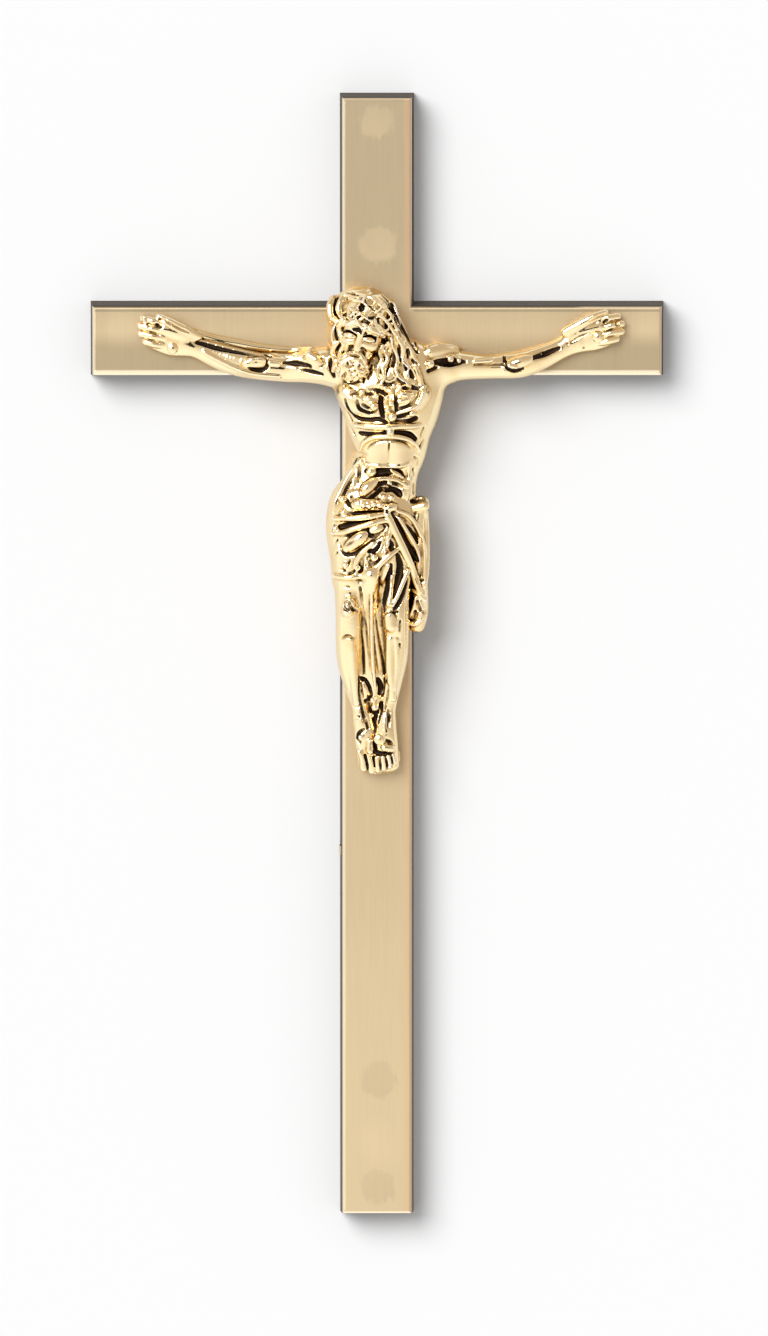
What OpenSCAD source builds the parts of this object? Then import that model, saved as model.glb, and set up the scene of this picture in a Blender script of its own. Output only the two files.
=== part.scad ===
// Wall crucifix: a hollow-backed metal cross with a cast figure nailed to its face.
// X runs across, Y runs from the front towards the wall, Z is up.
// The origin is on the back plane, behind the middle of the crossing.

/* [Cross] */
// Height of the cross on its front face
cross_h = 203.2; // [180:0.1:230]
// Width across the crossbar on its front face
cross_w = 102.8; // [98:0.1:125]
// Width of each bar on its front face
bar_w = 12.6; // [12.2:0.1:15]
// Depth of the cross from its front face to the wall
cross_d = 6.4; // [6.2:0.1:8]
// Length of the upright above the middle of the crossing
top_reach = 44; // [43:0.1:52]
// How far each side wall leans out between the front face and the back
side_draft = 0.4; // [0.2:0.05:0.6]
// Radius of the rounded front edge
edge_r = 0.6; // [0.3:0.05:0.9]

/* [Shell] */
// Thickness of the front face
face_t = 1.2; // [0.9:0.05:1.4]
// Thickness of the side walls
wall_t = 1.2; // [0.9:0.05:1.3]
// Radius of the bosses that take the screws
boss_r = 2.4; // [2:0.1:3]

/* [Back plate] */
// Thickness of the back plate
plate_t = 0.8; // [0.7:0.05:1.2]
// Gap between the back plate and the side walls
plate_gap = 0.15; // [0.05:0.05:0.3]

/* [Screws] */
// Radius of a screw's thread
screw_r = 0.95; // [0.7:0.05:1.1]
// Radius of a screw's countersunk head
screw_head_r = 1.7; // [1.5:0.05:1.9]
// Depth of a screw's countersunk head
screw_head_t = 0.65; // [0.5:0.05:0.7]
// Thread length of a plate screw
plate_screw_l = 3.4; // [2.5:0.1:3.8]
// Thread length of the hanger's screw
strap_screw_l = 1.7; // [1.2:0.1:1.9]
// Clearance round a screw
screw_gap = 0.03; // [0.02:0.01:0.05]

/* [Hanger] */
// Thickness of the hanger strap
strap_t = 0.7; // [0.65:0.05:0.8]
// Depth of the strap's back face below the wall
strap_recess = 2.6; // [2.5:0.05:2.8]
// Radius of the ring's pivot bar
pivot_r = 0.65; // [0.5:0.05:0.7]
// Radial clearance between the pivot bar and the strap's rolled eye
pivot_gap = 0.05; // [0.03:0.01:0.1]
// Thickness of the sheet rolled round the pivot bar
eye_t = 0.6; // [0.4:0.05:0.6]
// Gap between the ring and the side walls of the hollow
ring_side_gap = 0.8; // [0.6:0.05:1.2]
// Thickness of the ring
ring_t = 0.9; // [0.7:0.05:1]
// Gap between the ring and the strap's eye
ring_gap = 0.5; // [0.3:0.05:0.7]

/* [Figure] */
// Height of the figure, from the top of its head to its toes, as a share of the crossbar's width
figure_share = 0.856; // [0.8:0.002:0.87]

/* [Nails] */
// Radius of a nail's domed head
nail_head_r = 1.05; // [0.8:0.05:1.2]
// Height of a nail's domed head
nail_head_t = 0.6; // [0.4:0.05:0.8]
// Radius of a nail's shank
nail_r = 0.55; // [0.4:0.05:0.6]
// Length of shank behind the front wall
nail_tail = 1.3; // [1:0.1:2]
// Clearance round a nail's shank
nail_gap = 0.05; // [0.04:0.01:0.08]
// Radius of a retaining clip
clip_r = 2; // [1.6:0.1:2.4]
// Thickness of a retaining clip
clip_t = 0.4; // [0.3:0.05:0.6]

/* [Hidden] */

$fn = 48;

// One overrun for every cut that runs out of its piece
cut_over = 0.5;

// Places that the shell, plate, hanger and nails share
bottom_reach = cross_h - top_reach;
upright_mid = (top_reach - bottom_reach) / 2;
half_bar = bar_w / 2;
face_y = -cross_d;
floor_y = face_y + face_t;
half_room = half_bar - wall_t;
edge_steps = 4;

// Screw places: two near the top end, two near the foot and one near each end of the crossbar
strap_boss_z = top_reach - 0.385 * bar_w;
upper_boss_z = top_reach - 2.1 * bar_w;
foot_boss_z = -bottom_reach + 0.43 * bar_w;
lower_boss_z = -bottom_reach + 2 * bar_w;
arm_boss_x = cross_w / 2 - 0.4 * bar_w;
plate_screw_places = [[0, upper_boss_z], [0, lower_boss_z], [0, foot_boss_z],
    [-arm_boss_x, 0], [arm_boss_x, 0]];
plate_top_z = upper_boss_z + boss_r;

// A small stub on the upright's left wall, where the casting's gate was broken off
gate_z = -0.59 * bottom_reach;
gate_l = 1.6;
gate_out = 0.3;
gate_d = 0.4 * cross_d;

// A retaining clip's hole is a close fit on its nail
clip_gap = 0.01;

// The hanger lies in the open top of the hollow, below the plane of the wall. Its ring is as wide as
// the hollow allows, and the ring's metal is a ninth of the bar's width.
strap_y = -strap_recess;
strap_boss_y = strap_y - strap_t;
eye_r = pivot_r + pivot_gap + eye_t;
eye_y = strap_y + pivot_r + pivot_gap;
ring_r = half_room - ring_side_gap;
ring_rim = bar_w / 9;
ring_hole_r = ring_r - ring_rim;
ring_drop = eye_r + ring_gap + ring_r;
leg_gap = 0.3;
leg_w = ring_rim;
leg_inset = 0.1;
leg_x = ring_r - leg_inset - leg_w / 2;
strap_w = 2 * (leg_x - leg_w / 2 - leg_gap);
ring_end_gap = 0.7;
pivot_z = top_reach - wall_t - ring_end_gap - ring_drop - ring_r;

// A screw's cross-shaped recess
drive_w = 0.35 * screw_r;
drive_l = 1.25 * screw_head_r;
drive_d = 0.6 * screw_head_t;

// Shape of the rounded edge of a bar, from its side wall to its face
function edge_arc(half_w, depth) = [for (i = [0 : edge_steps]) let (a = 90 * i / edge_steps)
    [half_w - edge_r + edge_r * cos(a), -depth + edge_r - edge_r * sin(a)]];

// Cross-section of a bar: leaning sides and rounded front edges
function bar_section(half_w) = let (right = edge_arc(half_w, cross_d))
    concat([[half_w + side_draft, 0]], right,
        [for (i = [edge_steps : -1 : 0]) [-right[i][0], right[i][1]]], [[-half_w - side_draft, 0]]);

// Cross-section of the hollow inside a bar, running out through the back
function room_section(half_w, back_y) = let (lean = side_draft * (back_y - floor_y) / cross_d)
    [[half_w + lean, back_y], [half_w, floor_y], [-half_w, floor_y], [-half_w - lean, back_y]];

// Cross-section of a flat sheet that closes the hollow
function sheet_section(half_w) = let (front = side_draft * (-plate_t - floor_y) / cross_d,
    back = side_draft * -floor_y / cross_d)
    [[half_w + back, 0], [half_w + front, -plate_t], [-half_w - front, -plate_t], [-half_w - back, 0]];

// A block whose section across X comes from across, and whose section along Z comes from along
module sloped_block(across, along, reach) {
    intersection() {
        linear_extrude(height = reach, center = true)
            polygon(across);
        rotate([0, -90, 0])
            linear_extrude(height = reach, center = true)
                polygon(along);
    }
}

// The outside of the cross
module cross_body() {
    reach = cross_h + cross_w;
    translate([0, 0, upright_mid])
        sloped_block(bar_section(half_bar), bar_section(cross_h / 2), reach);
    sloped_block(bar_section(cross_w / 2), bar_section(half_bar), reach);
}

// The hollow that opens at the back
module cross_room() {
    reach = cross_h + cross_w;
    translate([0, 0, upright_mid])
        sloped_block(room_section(half_room, cut_over), room_section(cross_h / 2 - wall_t, cut_over), reach);
    sloped_block(room_section(cross_w / 2 - wall_t, cut_over), room_section(half_room, cut_over), reach);
}

// A round bar along Y, from its back end to its front end
module along_y(place, back_y, front_y, r) {
    translate([place[0], back_y, place[1]])
        rotate([90, 0, 0])
            cylinder(r = r, h = back_y - front_y);
}

// A countersunk screw's outline, or its hole when grown by a gap
module screw_form(place, back_y, length, grow) {
    translate([place[0], back_y, place[1]])
        rotate([90, 0, 0])
            cylinder(r1 = screw_head_r + grow, r2 = screw_r + grow, h = screw_head_t);
    along_y(place, back_y - screw_head_t, back_y - screw_head_t - length, screw_r + grow);
}

// A countersunk screw with its cross-shaped recess
module screw(place, back_y, length) {
    difference() {
        screw_form(place, back_y, length, 0);
        for (turn = [0, 90])
            translate([place[0], back_y, place[1]])
                rotate([0, turn, 0])
                    cube([drive_l, 2 * drive_d, drive_w], center = true);
    }
}

module cross_shell() {
    color([0.83, 0.75, 0.59])
        difference() {
            union() {
                difference() {
                    cross_body();
                    cross_room();
                }
                for (place = plate_screw_places)
                    along_y(place, -plate_t, floor_y - face_t / 2, boss_r);
                along_y([0, strap_boss_z], strap_boss_y, floor_y - face_t / 2, boss_r);
                translate([-half_bar - side_draft / 2 - gate_out, -gate_d, gate_z])
                    cube([gate_out + wall_t / 2, gate_d, gate_l]);
            }
            for (place = plate_screw_places)
                screw_form(place, 0, plate_screw_l + screw_gap, screw_gap);
            screw_form([0, strap_boss_z], strap_y, strap_screw_l + screw_gap, screw_gap);
            for (place = nail_places)
                along_y(place, floor_y + cut_over, face_y - cut_over, nail_r + nail_gap);
        }
}

// The sheet that closes the hollow, cut short below the hanger
module back_plate() {
    sheet_half = half_room - plate_gap;
    sheet_l = plate_top_z + bottom_reach - wall_t - plate_gap;
    reach = cross_h + cross_w;
    color([0.35, 0.33, 0.30])
        difference() {
            union() {
                translate([0, 0, plate_top_z - sheet_l / 2])
                    sloped_block(sheet_section(sheet_half), sheet_section(sheet_l / 2), reach);
                sloped_block(sheet_section(cross_w / 2 - wall_t - plate_gap), sheet_section(sheet_half), reach);
            }
            for (place = plate_screw_places)
                screw_form(place, 0, cross_d, screw_gap);
        }
}

module plate_screws() {
    color([0.75, 0.75, 0.74])
        for (place = plate_screw_places)
            screw(place, 0, plate_screw_l);
}

module strap_screw() {
    color([0.75, 0.75, 0.74])
        screw([0, strap_boss_z], strap_y, strap_screw_l);
}

// A flat strap screwed to the top boss, its lower end rolled into an eye for the ring
module hanger_strap() {
    strap_top = strap_boss_z + strap_w / 2;
    color([0.72, 0.70, 0.66])
        difference() {
            union() {
                translate([-strap_w / 2, strap_boss_y, pivot_z])
                    cube([strap_w, strap_t, strap_boss_z - pivot_z]);
                along_y([0, strap_boss_z], strap_y, strap_boss_y, strap_w / 2);
                translate([0, eye_y, pivot_z])
                    rotate([0, 90, 0])
                        cylinder(r = eye_r, h = strap_w, center = true);
            }
            translate([0, eye_y, pivot_z])
                rotate([0, 90, 0])
                    cylinder(r = pivot_r + pivot_gap, h = strap_w + cut_over, center = true);
            screw_form([0, strap_boss_z], strap_y, cross_d, screw_gap);
        }
}

// A flat ring on two short legs, hanging from its pivot bar
module hanger_ring() {
    ring_z = pivot_z - ring_drop;
    leg_l = ring_drop - ring_hole_r / 2;
    color([0.80, 0.78, 0.73])
        difference() {
            union() {
                translate([0, eye_y, pivot_z])
                    rotate([0, 90, 0])
                        cylinder(r = pivot_r, h = 2 * leg_x + leg_w, center = true);
                for (side = [-1, 1])
                    translate([side * leg_x - leg_w / 2, eye_y - ring_t / 2, pivot_z - leg_l])
                        cube([leg_w, ring_t, leg_l]);
                along_y([0, ring_z], eye_y + ring_t / 2, eye_y - ring_t / 2, ring_r);
            }
            along_y([0, ring_z], eye_y + ring_t, eye_y - ring_t, ring_hole_r);
        }
}

// The figure grows with the crossbar, so that its hands stay on it.
// Its shapes are tables of shares: each number is a hundredth of the figure's height.
// A ring of a limb is its middle across, its middle out from the face, its height,
// its half width across the limb and its half depth out from the face.
figure_h = figure_share * cross_w;
unit = figure_h / 100;
limb_sides = 12;
head_sides = 18;
torso_sides = 22;
fold_sides = 8;
limb_steps = 2;
fold_steps = 3;
limb_lift = 0.45;
cloth_lift = 0.1;

// Places of the three nails, across and up
nail_shares = [[-41.9, -1.4], [45.3, 0.9], [0.6, -81.7]];
nail_places = nail_shares * unit;

// How far out from the face each nail's head is seated, on the two palms and the crossed feet
seat_shares = [2.27, 2.27, 5.57];
nail_seats = [for (seat = seat_shares) face_y - seat * unit];

arm_left_shares = [
    [-2, 3, -5.6, 4.6, 4.2], [-7.5, 2.9, -5.2, 4.4, 4], [-10.9, 2.5, -5, 3.9, 3.5],
    [-14.4, 2, -5.1, 3.4, 3], [-18.3, 1.6, -5.6, 2.8, 2.5], [-24.1, 1.5, -5.1, 2.8, 2.5],
    [-28.4, 1.3, -4.3, 2.9, 2.4], [-32.7, 1.1, -3, 2.6, 2], [-36.8, 1, -1.5, 2.1, 1.6],
    [-39.5, 0.9, -0.4, 2.5, 1.4]];
arm_right_shares = [
    [4, 3, -5.8, 4.8, 4.2], [9.1, 2.9, -5.4, 4.7, 4], [13.2, 2.5, -5.2, 4, 3.5],
    [17, 2, -5, 3.1, 2.9], [23.3, 1.6, -5.2, 2.5, 2.4], [29.4, 1.5, -4.7, 2.8, 2.5],
    [33.5, 1.2, -3.4, 2.5, 2.1], [37.9, 1, -1.5, 2.1, 1.6], [41, 0.9, 0.2, 2.5, 1.4]];
palm_left_shares = [[-38.5, 0.9, -0.9, 2.2, 1.4], [-41.5, 0.8, 0.2, 3.4, 1.5], [-45, 0.9, 1.9, 3.7, 1.4]];
palm_right_shares = [[40, 0.9, -0.2, 2.3, 1.4], [43.5, 0.8, 1.3, 3.5, 1.5], [46.5, 0.9, 2.5, 3.7, 1.4]];

torso_shares = [
    [0.4, 3.2, 1.8, 3.4, 3], [0.8, 3, -1, 5.4, 3.6], [1.5, 2.8, -4.4, 9.4, 4.6],
    [2.6, 2.6, -8.4, 11.4, 5.9], [2.9, 2.4, -13, 10.3, 6.3], [2.8, 2.3, -17.4, 8.8, 5.8],
    [2.9, 2.2, -21.8, 7.4, 4.8], [1.9, 2.2, -25.4, 6.9, 4.2], [0.6, 2.3, -29.6, 7.6, 4.5],
    [-0.3, 2.4, -34, 8.8, 5], [-0.8, 2.5, -39, 8.6, 5.2], [-0.8, 2.5, -44, 7.6, 5]];

leg_left_shares = [
    [-4.5, 3, -38, 4.6, 4.6], [-5, 3.6, -45, 3.9, 4], [-5.5, 4.4, -51.5, 3.2, 3.5],
    [-5.7, 4.8, -56.5, 2.8, 3.3], [-5.7, 4, -61, 2.8, 3], [-5.4, 3.2, -66, 2.7, 2.8],
    [-4.5, 2.6, -71, 2.2, 2.3], [-3.4, 2.2, -75.4, 1.8, 1.9], [-2.8, 2.1, -78.5, 2, 1.9]];
leg_right_shares = [
    [3.4, 3, -38, 4.6, 4.6], [3.8, 3.8, -45, 3.8, 4], [3.9, 4.7, -51.5, 3, 3.5],
    [3.8, 5.2, -56, 2.8, 3.3], [3.9, 4.4, -60, 2.8, 3.1], [3.7, 3.6, -65, 2.7, 2.9],
    [3, 3.1, -71, 2, 2.3], [2.4, 2.9, -75.4, 1.6, 1.9], [1.9, 3.1, -78.5, 1.9, 1.9]];
shin_web_shares = [[-1, 1.6, -42, 3, 2.2], [-1, 1.3, -60, 2.2, 1.9], [-0.6, 1, -80, 2, 1.6]];
foot_left_shares = [[-3, 2.2, -77.4, 1.9, 1.9], [-2, 2.2, -82, 2.6, 2], [-1.2, 1.9, -87.6, 2.6, 1.3]];
foot_right_shares = [[2, 3.3, -77.4, 1.8, 1.9], [1.9, 3.2, -82, 2.4, 2.3], [2.1, 2.6, -87.4, 2.5, 1.5]];

head_shares = [
    [-2.2, 6.4, 8.7, 2.2, 2.6], [-2.6, 6.5, 7.6, 4, 4.5], [-3, 6.6, 5, 5, 5.6],
    [-3.4, 6.7, 2, 5.1, 5.6], [-3.8, 6.8, -1, 4.6, 5.2], [-4.2, 6.9, -4, 3.7, 4.4],
    [-4.5, 6.8, -6.2, 2.8, 3.4], [-4.6, 6.4, -8, 1.4, 1.9]];
neck_shares = [[-2.8, 4.6, -2, 3, 3.2], [0, 3.4, -6, 4, 3.4]];
hair_back_shares = [
    [-1.6, 3.8, 10.2, 2.6, 2.6], [-2.1, 4.2, 8.6, 5.2, 4.6], [-2.9, 4.2, 5, 6.9, 5],
    [-3.4, 4, 1, 6.8, 4.6], [-3.4, 3.6, -3, 5.6, 4]];
lock_left_shares = [[-6.6, 5, 5, 2, 2.4], [-7.8, 5.4, 1, 1.9, 2.4], [-7.5, 5, -4, 1.6, 2.2], [-6.8, 4.4, -8, 1, 1.4]];
lock_right_shares = [
    [1.2, 5.6, 7.2, 2, 2.6], [3.1, 5.6, 3.4, 2.4, 2.8], [4.7, 5.3, -1, 2.5, 2.7],
    [6.1, 5.1, -5.2, 2.4, 2.4], [6.9, 4.9, -9.4, 1.6, 1.8]];
beard_shares = [[-4, 9, -2.2, 1.2, 1], [-4.3, 8.8, -4.2, 3.1, 2.6], [-4.6, 8.8, -6.6, 2.7, 2.5], [-4.9, 8.6, -8.9, 0.9, 1]];

nose_shares = [[-3.3, 12.1, 2.6], [-3.6, 12.6, 0.2]];
nose_r_share = 0.8;

// The band of thorns round the brow: its middle, half width, half depth, rise to the right and thickness
band_middle_share = [-2.9, 6.6, 3.7];
band_half_w_share = 5.6;
band_half_d_share = 6.1;
band_tilt = -12;
band_r_share = 0.85;
band_beads = 16;

// The loincloth: rings round the hips and the left thigh, then the ridges of its main folds
cloth_shares = [
    [-0.2, 2.4, -32.4, 8.6, 5], [-0.6, 2.5, -34.6, 9.5, 5.9], [-0.9, 2.6, -38.5, 9.6, 6.2],
    [-0.8, 2.7, -42.5, 9.1, 6.2], [-0.8, 2.7, -45.4, 8.4, 5.8]];
cloth_left_shares = [[-4.9, 3.3, -43, 4.9, 5], [-5, 3.6, -48.7, 4.3, 4.7]];
cloth_sides = 28;
tail_shares = [
    [9.2, 3.2, -33.2, 1.6, 2], [8.4, 3.2, -36.5, 1.7, 2.4], [8.7, 3, -42, 1.7, 2.4],
    [8.7, 2.9, -49, 1.8, 2.4], [8.6, 2.9, -55.5, 2, 2.4], [8.2, 2.6, -58.4, 1.7, 1.6]];
fold_shares = [
    [[1.8, 7.8, -35.6, 0.9, 1.1], [-3.5, 7.7, -36.4, 1.1, 1.2], [-7.4, 6, -36.3, 1, 1.3], [-9.2, 4, -36, 0.7, 1]],
    [[1.4, 7.8, -36.6, 0.9, 1.1], [-3, 8, -39.4, 1.2, 1.2], [-7.4, 6.4, -40.6, 1.1, 1.2], [-9.2, 4.2, -41, 0.7, 1]],
    [[1.4, 7.8, -37, 0.9, 1.1], [-1, 8.1, -41, 1.3, 1.1], [-5.2, 7.5, -44.4, 1.2, 1.3], [-7.6, 5.8, -46, 0.8, 1]],
    [[2, 7.8, -37, 0.9, 1.1], [1, 8.1, -42, 1.3, 1.1], [-2, 7.2, -45.8, 1.2, 1.2], [-4, 6.4, -47.8, 0.8, 1]],
    [[2.6, 7.8, -36, 1, 1.2], [4.8, 6.8, -41.5, 1.3, 1.5], [7, 5.3, -47, 1.5, 2], [8.2, 4.6, -50.4, 1.2, 1.6]],
    [[2.8, 7.8, -35.6, 0.9, 1], [5.8, 6.2, -39, 1.1, 1.4], [7.7, 5, -43.5, 1.3, 1.8], [8.6, 4.2, -46.8, 1.2, 1.6]],
    [[2.8, 7.6, -35, 0.8, 0.9], [6.2, 6.1, -35.4, 0.9, 1.2], [9, 4.2, -36.4, 0.9, 1.4]]];
knot_share = [2.4, 7.6, -35.4];
knot_r_share = 1.6;

// Fingers and toes: the root's place across, out and up, then the tip's, then the radius
finger_r_share = 0.95;
finger_roots_left_share = [-45.3, 1, 1.9];
finger_tips_left_shares = [[-48.2, 1.4, 5.4], [-48.9, 1.5, 3.9], [-48.4, 1.5, 2.1], [-46.9, 1.5, 0.1]];
finger_roots_right_share = [46.8, 1, 2.6];
finger_tips_right_shares = [[49.2, 1.4, 5.8], [50.4, 1.5, 4.5], [50.4, 1.5, 2.8], [49.2, 1.5, 0.9]];
finger_spread_share = 1.75;
thumb_left_shares = [[-39.5, 1, 0.6], [-43.8, 1.3, 5]];
thumb_right_shares = [[41.2, 1, 1.6], [45.6, 1.3, 6.1]];
toe_r_share = 0.8;
toe_row_left_shares = [[-3.2, 1.4, -87.2], [-0.2, 1.7, -88.7]];
toe_row_right_shares = [[0.4, 2.4, -88.6], [4, 1.8, -87.2]];
toe_length_share = 1.9;
toes_in_row = 4;

// A smooth row of rings through the hand-set ones, by cubic curves
function curve_value(a, b, c, d, t) = 0.5 * (2 * b + (c - a) * t
    + (2 * a - 5 * b + 4 * c - d) * t * t + (3 * b - a - 3 * c + d) * t * t * t);
function smooth_rings(rings, steps) = let (last = len(rings) - 1)
    concat([for (i = [0 : last - 1], s = [0 : steps - 1])
        curve_value(rings[max(i - 1, 0)], rings[i], rings[i + 1], rings[min(i + 2, last)], s / steps)],
        [rings[last]]);

// The direction across a limb at one ring, in the plane of the face
function across_at(rings, i) = let (a = rings[max(i - 1, 0)], b = rings[min(i + 1, len(rings) - 1)],
    dx = b[0] - a[0], dz = b[2] - a[2], run = norm([dx, dz]))
    [-dz / run, dx / run];

// The points of one ring
function ring_points(ring, across, sides) = [for (k = [0 : sides - 1]) let (a = 360 * k / sides)
    [(ring[0] + across[0] * ring[3] * cos(a)) * unit,
        face_y - (ring[1] + ring[4] * sin(a)) * unit,
        (ring[2] + across[1] * ring[3] * cos(a)) * unit]];

// The point at the middle of a limb's end, lifted off its last ring away from the next one
function end_point(ring, next, lift) = let (step = [for (i = [0 : 2]) ring[i] - next[i]],
    place = [for (i = [0 : 2]) ring[i] + step[i] / norm(step) * lift * ring[4]])
    [place[0] * unit, face_y - place[1] * unit, place[2] * unit];

// The faces of a closed tube of rings, with a low cone at each end
function tube_faces(count, sides) = concat(
    [for (i = [0 : count - 2], k = [0 : sides - 1]) let (n = (k + 1) % sides)
        [i * sides + k, (i + 1) * sides + n, i * sides + n]],
    [for (i = [0 : count - 2], k = [0 : sides - 1]) let (n = (k + 1) % sides)
        [i * sides + k, (i + 1) * sides + k, (i + 1) * sides + n]],
    [for (k = [0 : sides - 1]) [count * sides, k, (k + 1) % sides]],
    [for (k = [0 : sides - 1]) let (base = (count - 1) * sides)
        [count * sides + 1, base + (k + 1) % sides, base + k]]);

// A smooth closed limb through a table of rings
module limb(shares, sides = limb_sides, steps = limb_steps, lift = limb_lift) {
    rings = smooth_rings(shares, steps);
    last = len(rings) - 1;
    polyhedron(points = concat([for (i = [0 : last]) each ring_points(rings[i], across_at(rings, i), sides)],
        [end_point(rings[0], rings[1], lift), end_point(rings[last], rings[last - 1], lift)]),
        faces = tube_faces(last + 1, sides), convexity = 6);
}

// A small round-ended bar between two places, such as a finger or a toe
module digit(root, tip, r_share) {
    hull() {
        for (place = [root, tip])
            translate([place[0] * unit, face_y - place[1] * unit, place[2] * unit])
                sphere(r = r_share * unit, $fn = 8);
    }
}

// One hand's four fingers fan out from the edge of the palm, and the thumb lies along its top
module fingers(middle, tips, thumb, side) {
    for (i = [0 : len(tips) - 1])
        digit(middle + [side * (i - 1.5) * 0.25, 0, (1.5 - i) * finger_spread_share], tips[i], finger_r_share);
    digit(thumb[0], thumb[1], finger_r_share);
}

// A row of toes between its first and last places
module toes(row) {
    for (i = [0 : toes_in_row - 1]) {
        tip = row[0] + (row[1] - row[0]) * i / (toes_in_row - 1);
        digit(tip + [0, 0, toe_length_share], tip, toe_r_share);
    }
}

// The band of thorns, a ring of small knots round the brow
module thorn_band() {
    for (i = [0 : band_beads - 1]) {
        a = [360 * i / band_beads, 360 * (i + 1) / band_beads];
        ends = [for (turn = a) let (x = band_half_w_share * cos(turn), z = x * tan(band_tilt))
            band_middle_share + [x, band_half_d_share * sin(turn), z]];
        if (ends[0][1] > band_middle_share[1] - band_half_d_share / 2)
            digit(ends[0], ends[1], band_r_share);
    }
}

module figure_solid() {
    limb(torso_shares, torso_sides);
    limb(arm_left_shares);
    limb(arm_right_shares);
    limb(palm_left_shares);
    limb(palm_right_shares);
    fingers(finger_roots_left_share, finger_tips_left_shares, thumb_left_shares, -1);
    fingers(finger_roots_right_share, finger_tips_right_shares, thumb_right_shares, 1);
    limb(leg_left_shares);
    limb(leg_right_shares);
    limb(shin_web_shares);
    limb(foot_left_shares);
    limb(foot_right_shares);
    toes(toe_row_left_shares);
    toes(toe_row_right_shares);
    limb(neck_shares);
    limb(head_shares, head_sides);
    digit(nose_shares[0], nose_shares[1], nose_r_share);
    limb(hair_back_shares, head_sides);
    limb(lock_left_shares);
    limb(lock_right_shares);
    limb(beard_shares);
    thorn_band();
    limb(cloth_shares, cloth_sides, limb_steps, cloth_lift);
    limb(cloth_left_shares, cloth_sides, limb_steps, cloth_lift);
    limb(tail_shares);
    for (fold = fold_shares)
        limb(fold, fold_sides, fold_steps);
    digit(knot_share, knot_share + [1, 0, 0.6], knot_r_share);
}

// The cast figure, flat at the back, with a seat and a hole for each nail
module corpus() {
    reach = 2 * figure_h;
    color([0.86, 0.68, 0.32])
        difference() {
            figure_solid();
            translate([-reach, face_y, -reach])
                cube([2 * reach, figure_h, 2 * reach]);
            for (i = [0 : len(nail_places) - 1]) {
                along_y(nail_places[i], nail_seats[i], face_y - figure_h, nail_head_r + nail_gap);
                along_y(nail_places[i], face_y + cut_over, nail_seats[i] - cut_over, nail_r + nail_gap);
            }
        }
}

// Outline of a nail's domed head, turned about its shank
function dome_points() = concat([[0, 0]], [for (i = [0 : edge_steps + 1]) let (a = 90 * i / (edge_steps + 1))
    [nail_head_r * cos(a), nail_head_t * sin(a)]]);

// A nail: a domed head on the seat and a shank through the figure and the front wall
module nail(i) {
    color([0.92, 0.80, 0.45]) {
        translate([nail_places[i][0], nail_seats[i], nail_places[i][1]])
            rotate([90, 0, 0])
                rotate_extrude()
                    polygon(dome_points());
        along_y(nail_places[i], floor_y + nail_tail, nail_seats[i], nail_r);
    }
}

module nail_hand_left() {
    nail(0);
}

module nail_hand_right() {
    nail(1);
}

module nail_feet() {
    nail(2);
}

// A push-on washer behind the front wall for each nail
module nail_clips() {
    color([0.55, 0.55, 0.54])
        for (place = nail_places)
            difference() {
                along_y(place, floor_y + clip_t, floor_y, clip_r);
                along_y(place, floor_y + clip_t + cut_over, floor_y - cut_over, nail_r + clip_gap);
            }
}

cross_shell();
back_plate();
plate_screws();
hanger_strap();
strap_screw();
hanger_ring();
corpus();
nail_hand_left();
nail_hand_right();
nail_feet();
nail_clips();
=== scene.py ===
"""Wall crucifix in gold-plated metal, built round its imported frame.

X runs across, Y runs from the front towards the wall, Z is up, in metres. The cross, its
hanger, screws and nails keep the frame's own shapes and get their finishes here. The cast
figure is modelled again in full relief: forms are melted together as distances in a block of
voxels, its folds, muscles and hair are laid on as beads and cut in as grooves, and the surface
is then skinned with quads.
"""
import math

import bpy
import numpy as np
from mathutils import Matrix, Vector


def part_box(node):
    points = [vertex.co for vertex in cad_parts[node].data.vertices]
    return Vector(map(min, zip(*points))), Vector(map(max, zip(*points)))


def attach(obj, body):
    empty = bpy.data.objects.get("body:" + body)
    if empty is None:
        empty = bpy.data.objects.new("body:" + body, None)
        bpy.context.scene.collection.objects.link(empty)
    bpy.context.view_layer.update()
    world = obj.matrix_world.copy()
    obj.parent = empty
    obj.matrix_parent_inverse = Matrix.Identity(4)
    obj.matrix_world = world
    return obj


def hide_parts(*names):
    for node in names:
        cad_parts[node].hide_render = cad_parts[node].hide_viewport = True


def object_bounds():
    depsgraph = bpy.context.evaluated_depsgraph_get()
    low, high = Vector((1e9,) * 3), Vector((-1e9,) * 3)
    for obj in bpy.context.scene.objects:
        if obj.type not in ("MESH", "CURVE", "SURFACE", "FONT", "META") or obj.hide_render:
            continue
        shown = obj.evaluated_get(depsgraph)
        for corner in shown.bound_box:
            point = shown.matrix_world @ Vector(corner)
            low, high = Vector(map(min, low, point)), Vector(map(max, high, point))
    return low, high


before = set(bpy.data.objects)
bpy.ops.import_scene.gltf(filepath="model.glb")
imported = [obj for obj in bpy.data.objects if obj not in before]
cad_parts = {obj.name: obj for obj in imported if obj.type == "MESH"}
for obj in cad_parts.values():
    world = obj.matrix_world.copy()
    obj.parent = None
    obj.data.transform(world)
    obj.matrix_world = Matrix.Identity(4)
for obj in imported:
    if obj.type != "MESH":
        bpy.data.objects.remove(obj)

bl_info = {
    "name": "Wall Crucifix",
    "version": (1, 0, 0),
    "blender": (4, 5, 0),
    "location": "3D View > Sidebar > Crucifix",
    "description": "Builds the relief figure, the metal finishes and the studio of a wall crucifix",
    "category": "Add Mesh",
}

CAD_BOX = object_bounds()
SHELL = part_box("cross_shell")
MM = 0.001
FACE_Y, CROSS_TOP = SHELL[0][1], SHELL[1][2]
CROSS_W = 102.8 * MM
BAR_W = 12.6 * MM
NAIL_SEAT_R = 1.14 * MM
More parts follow.
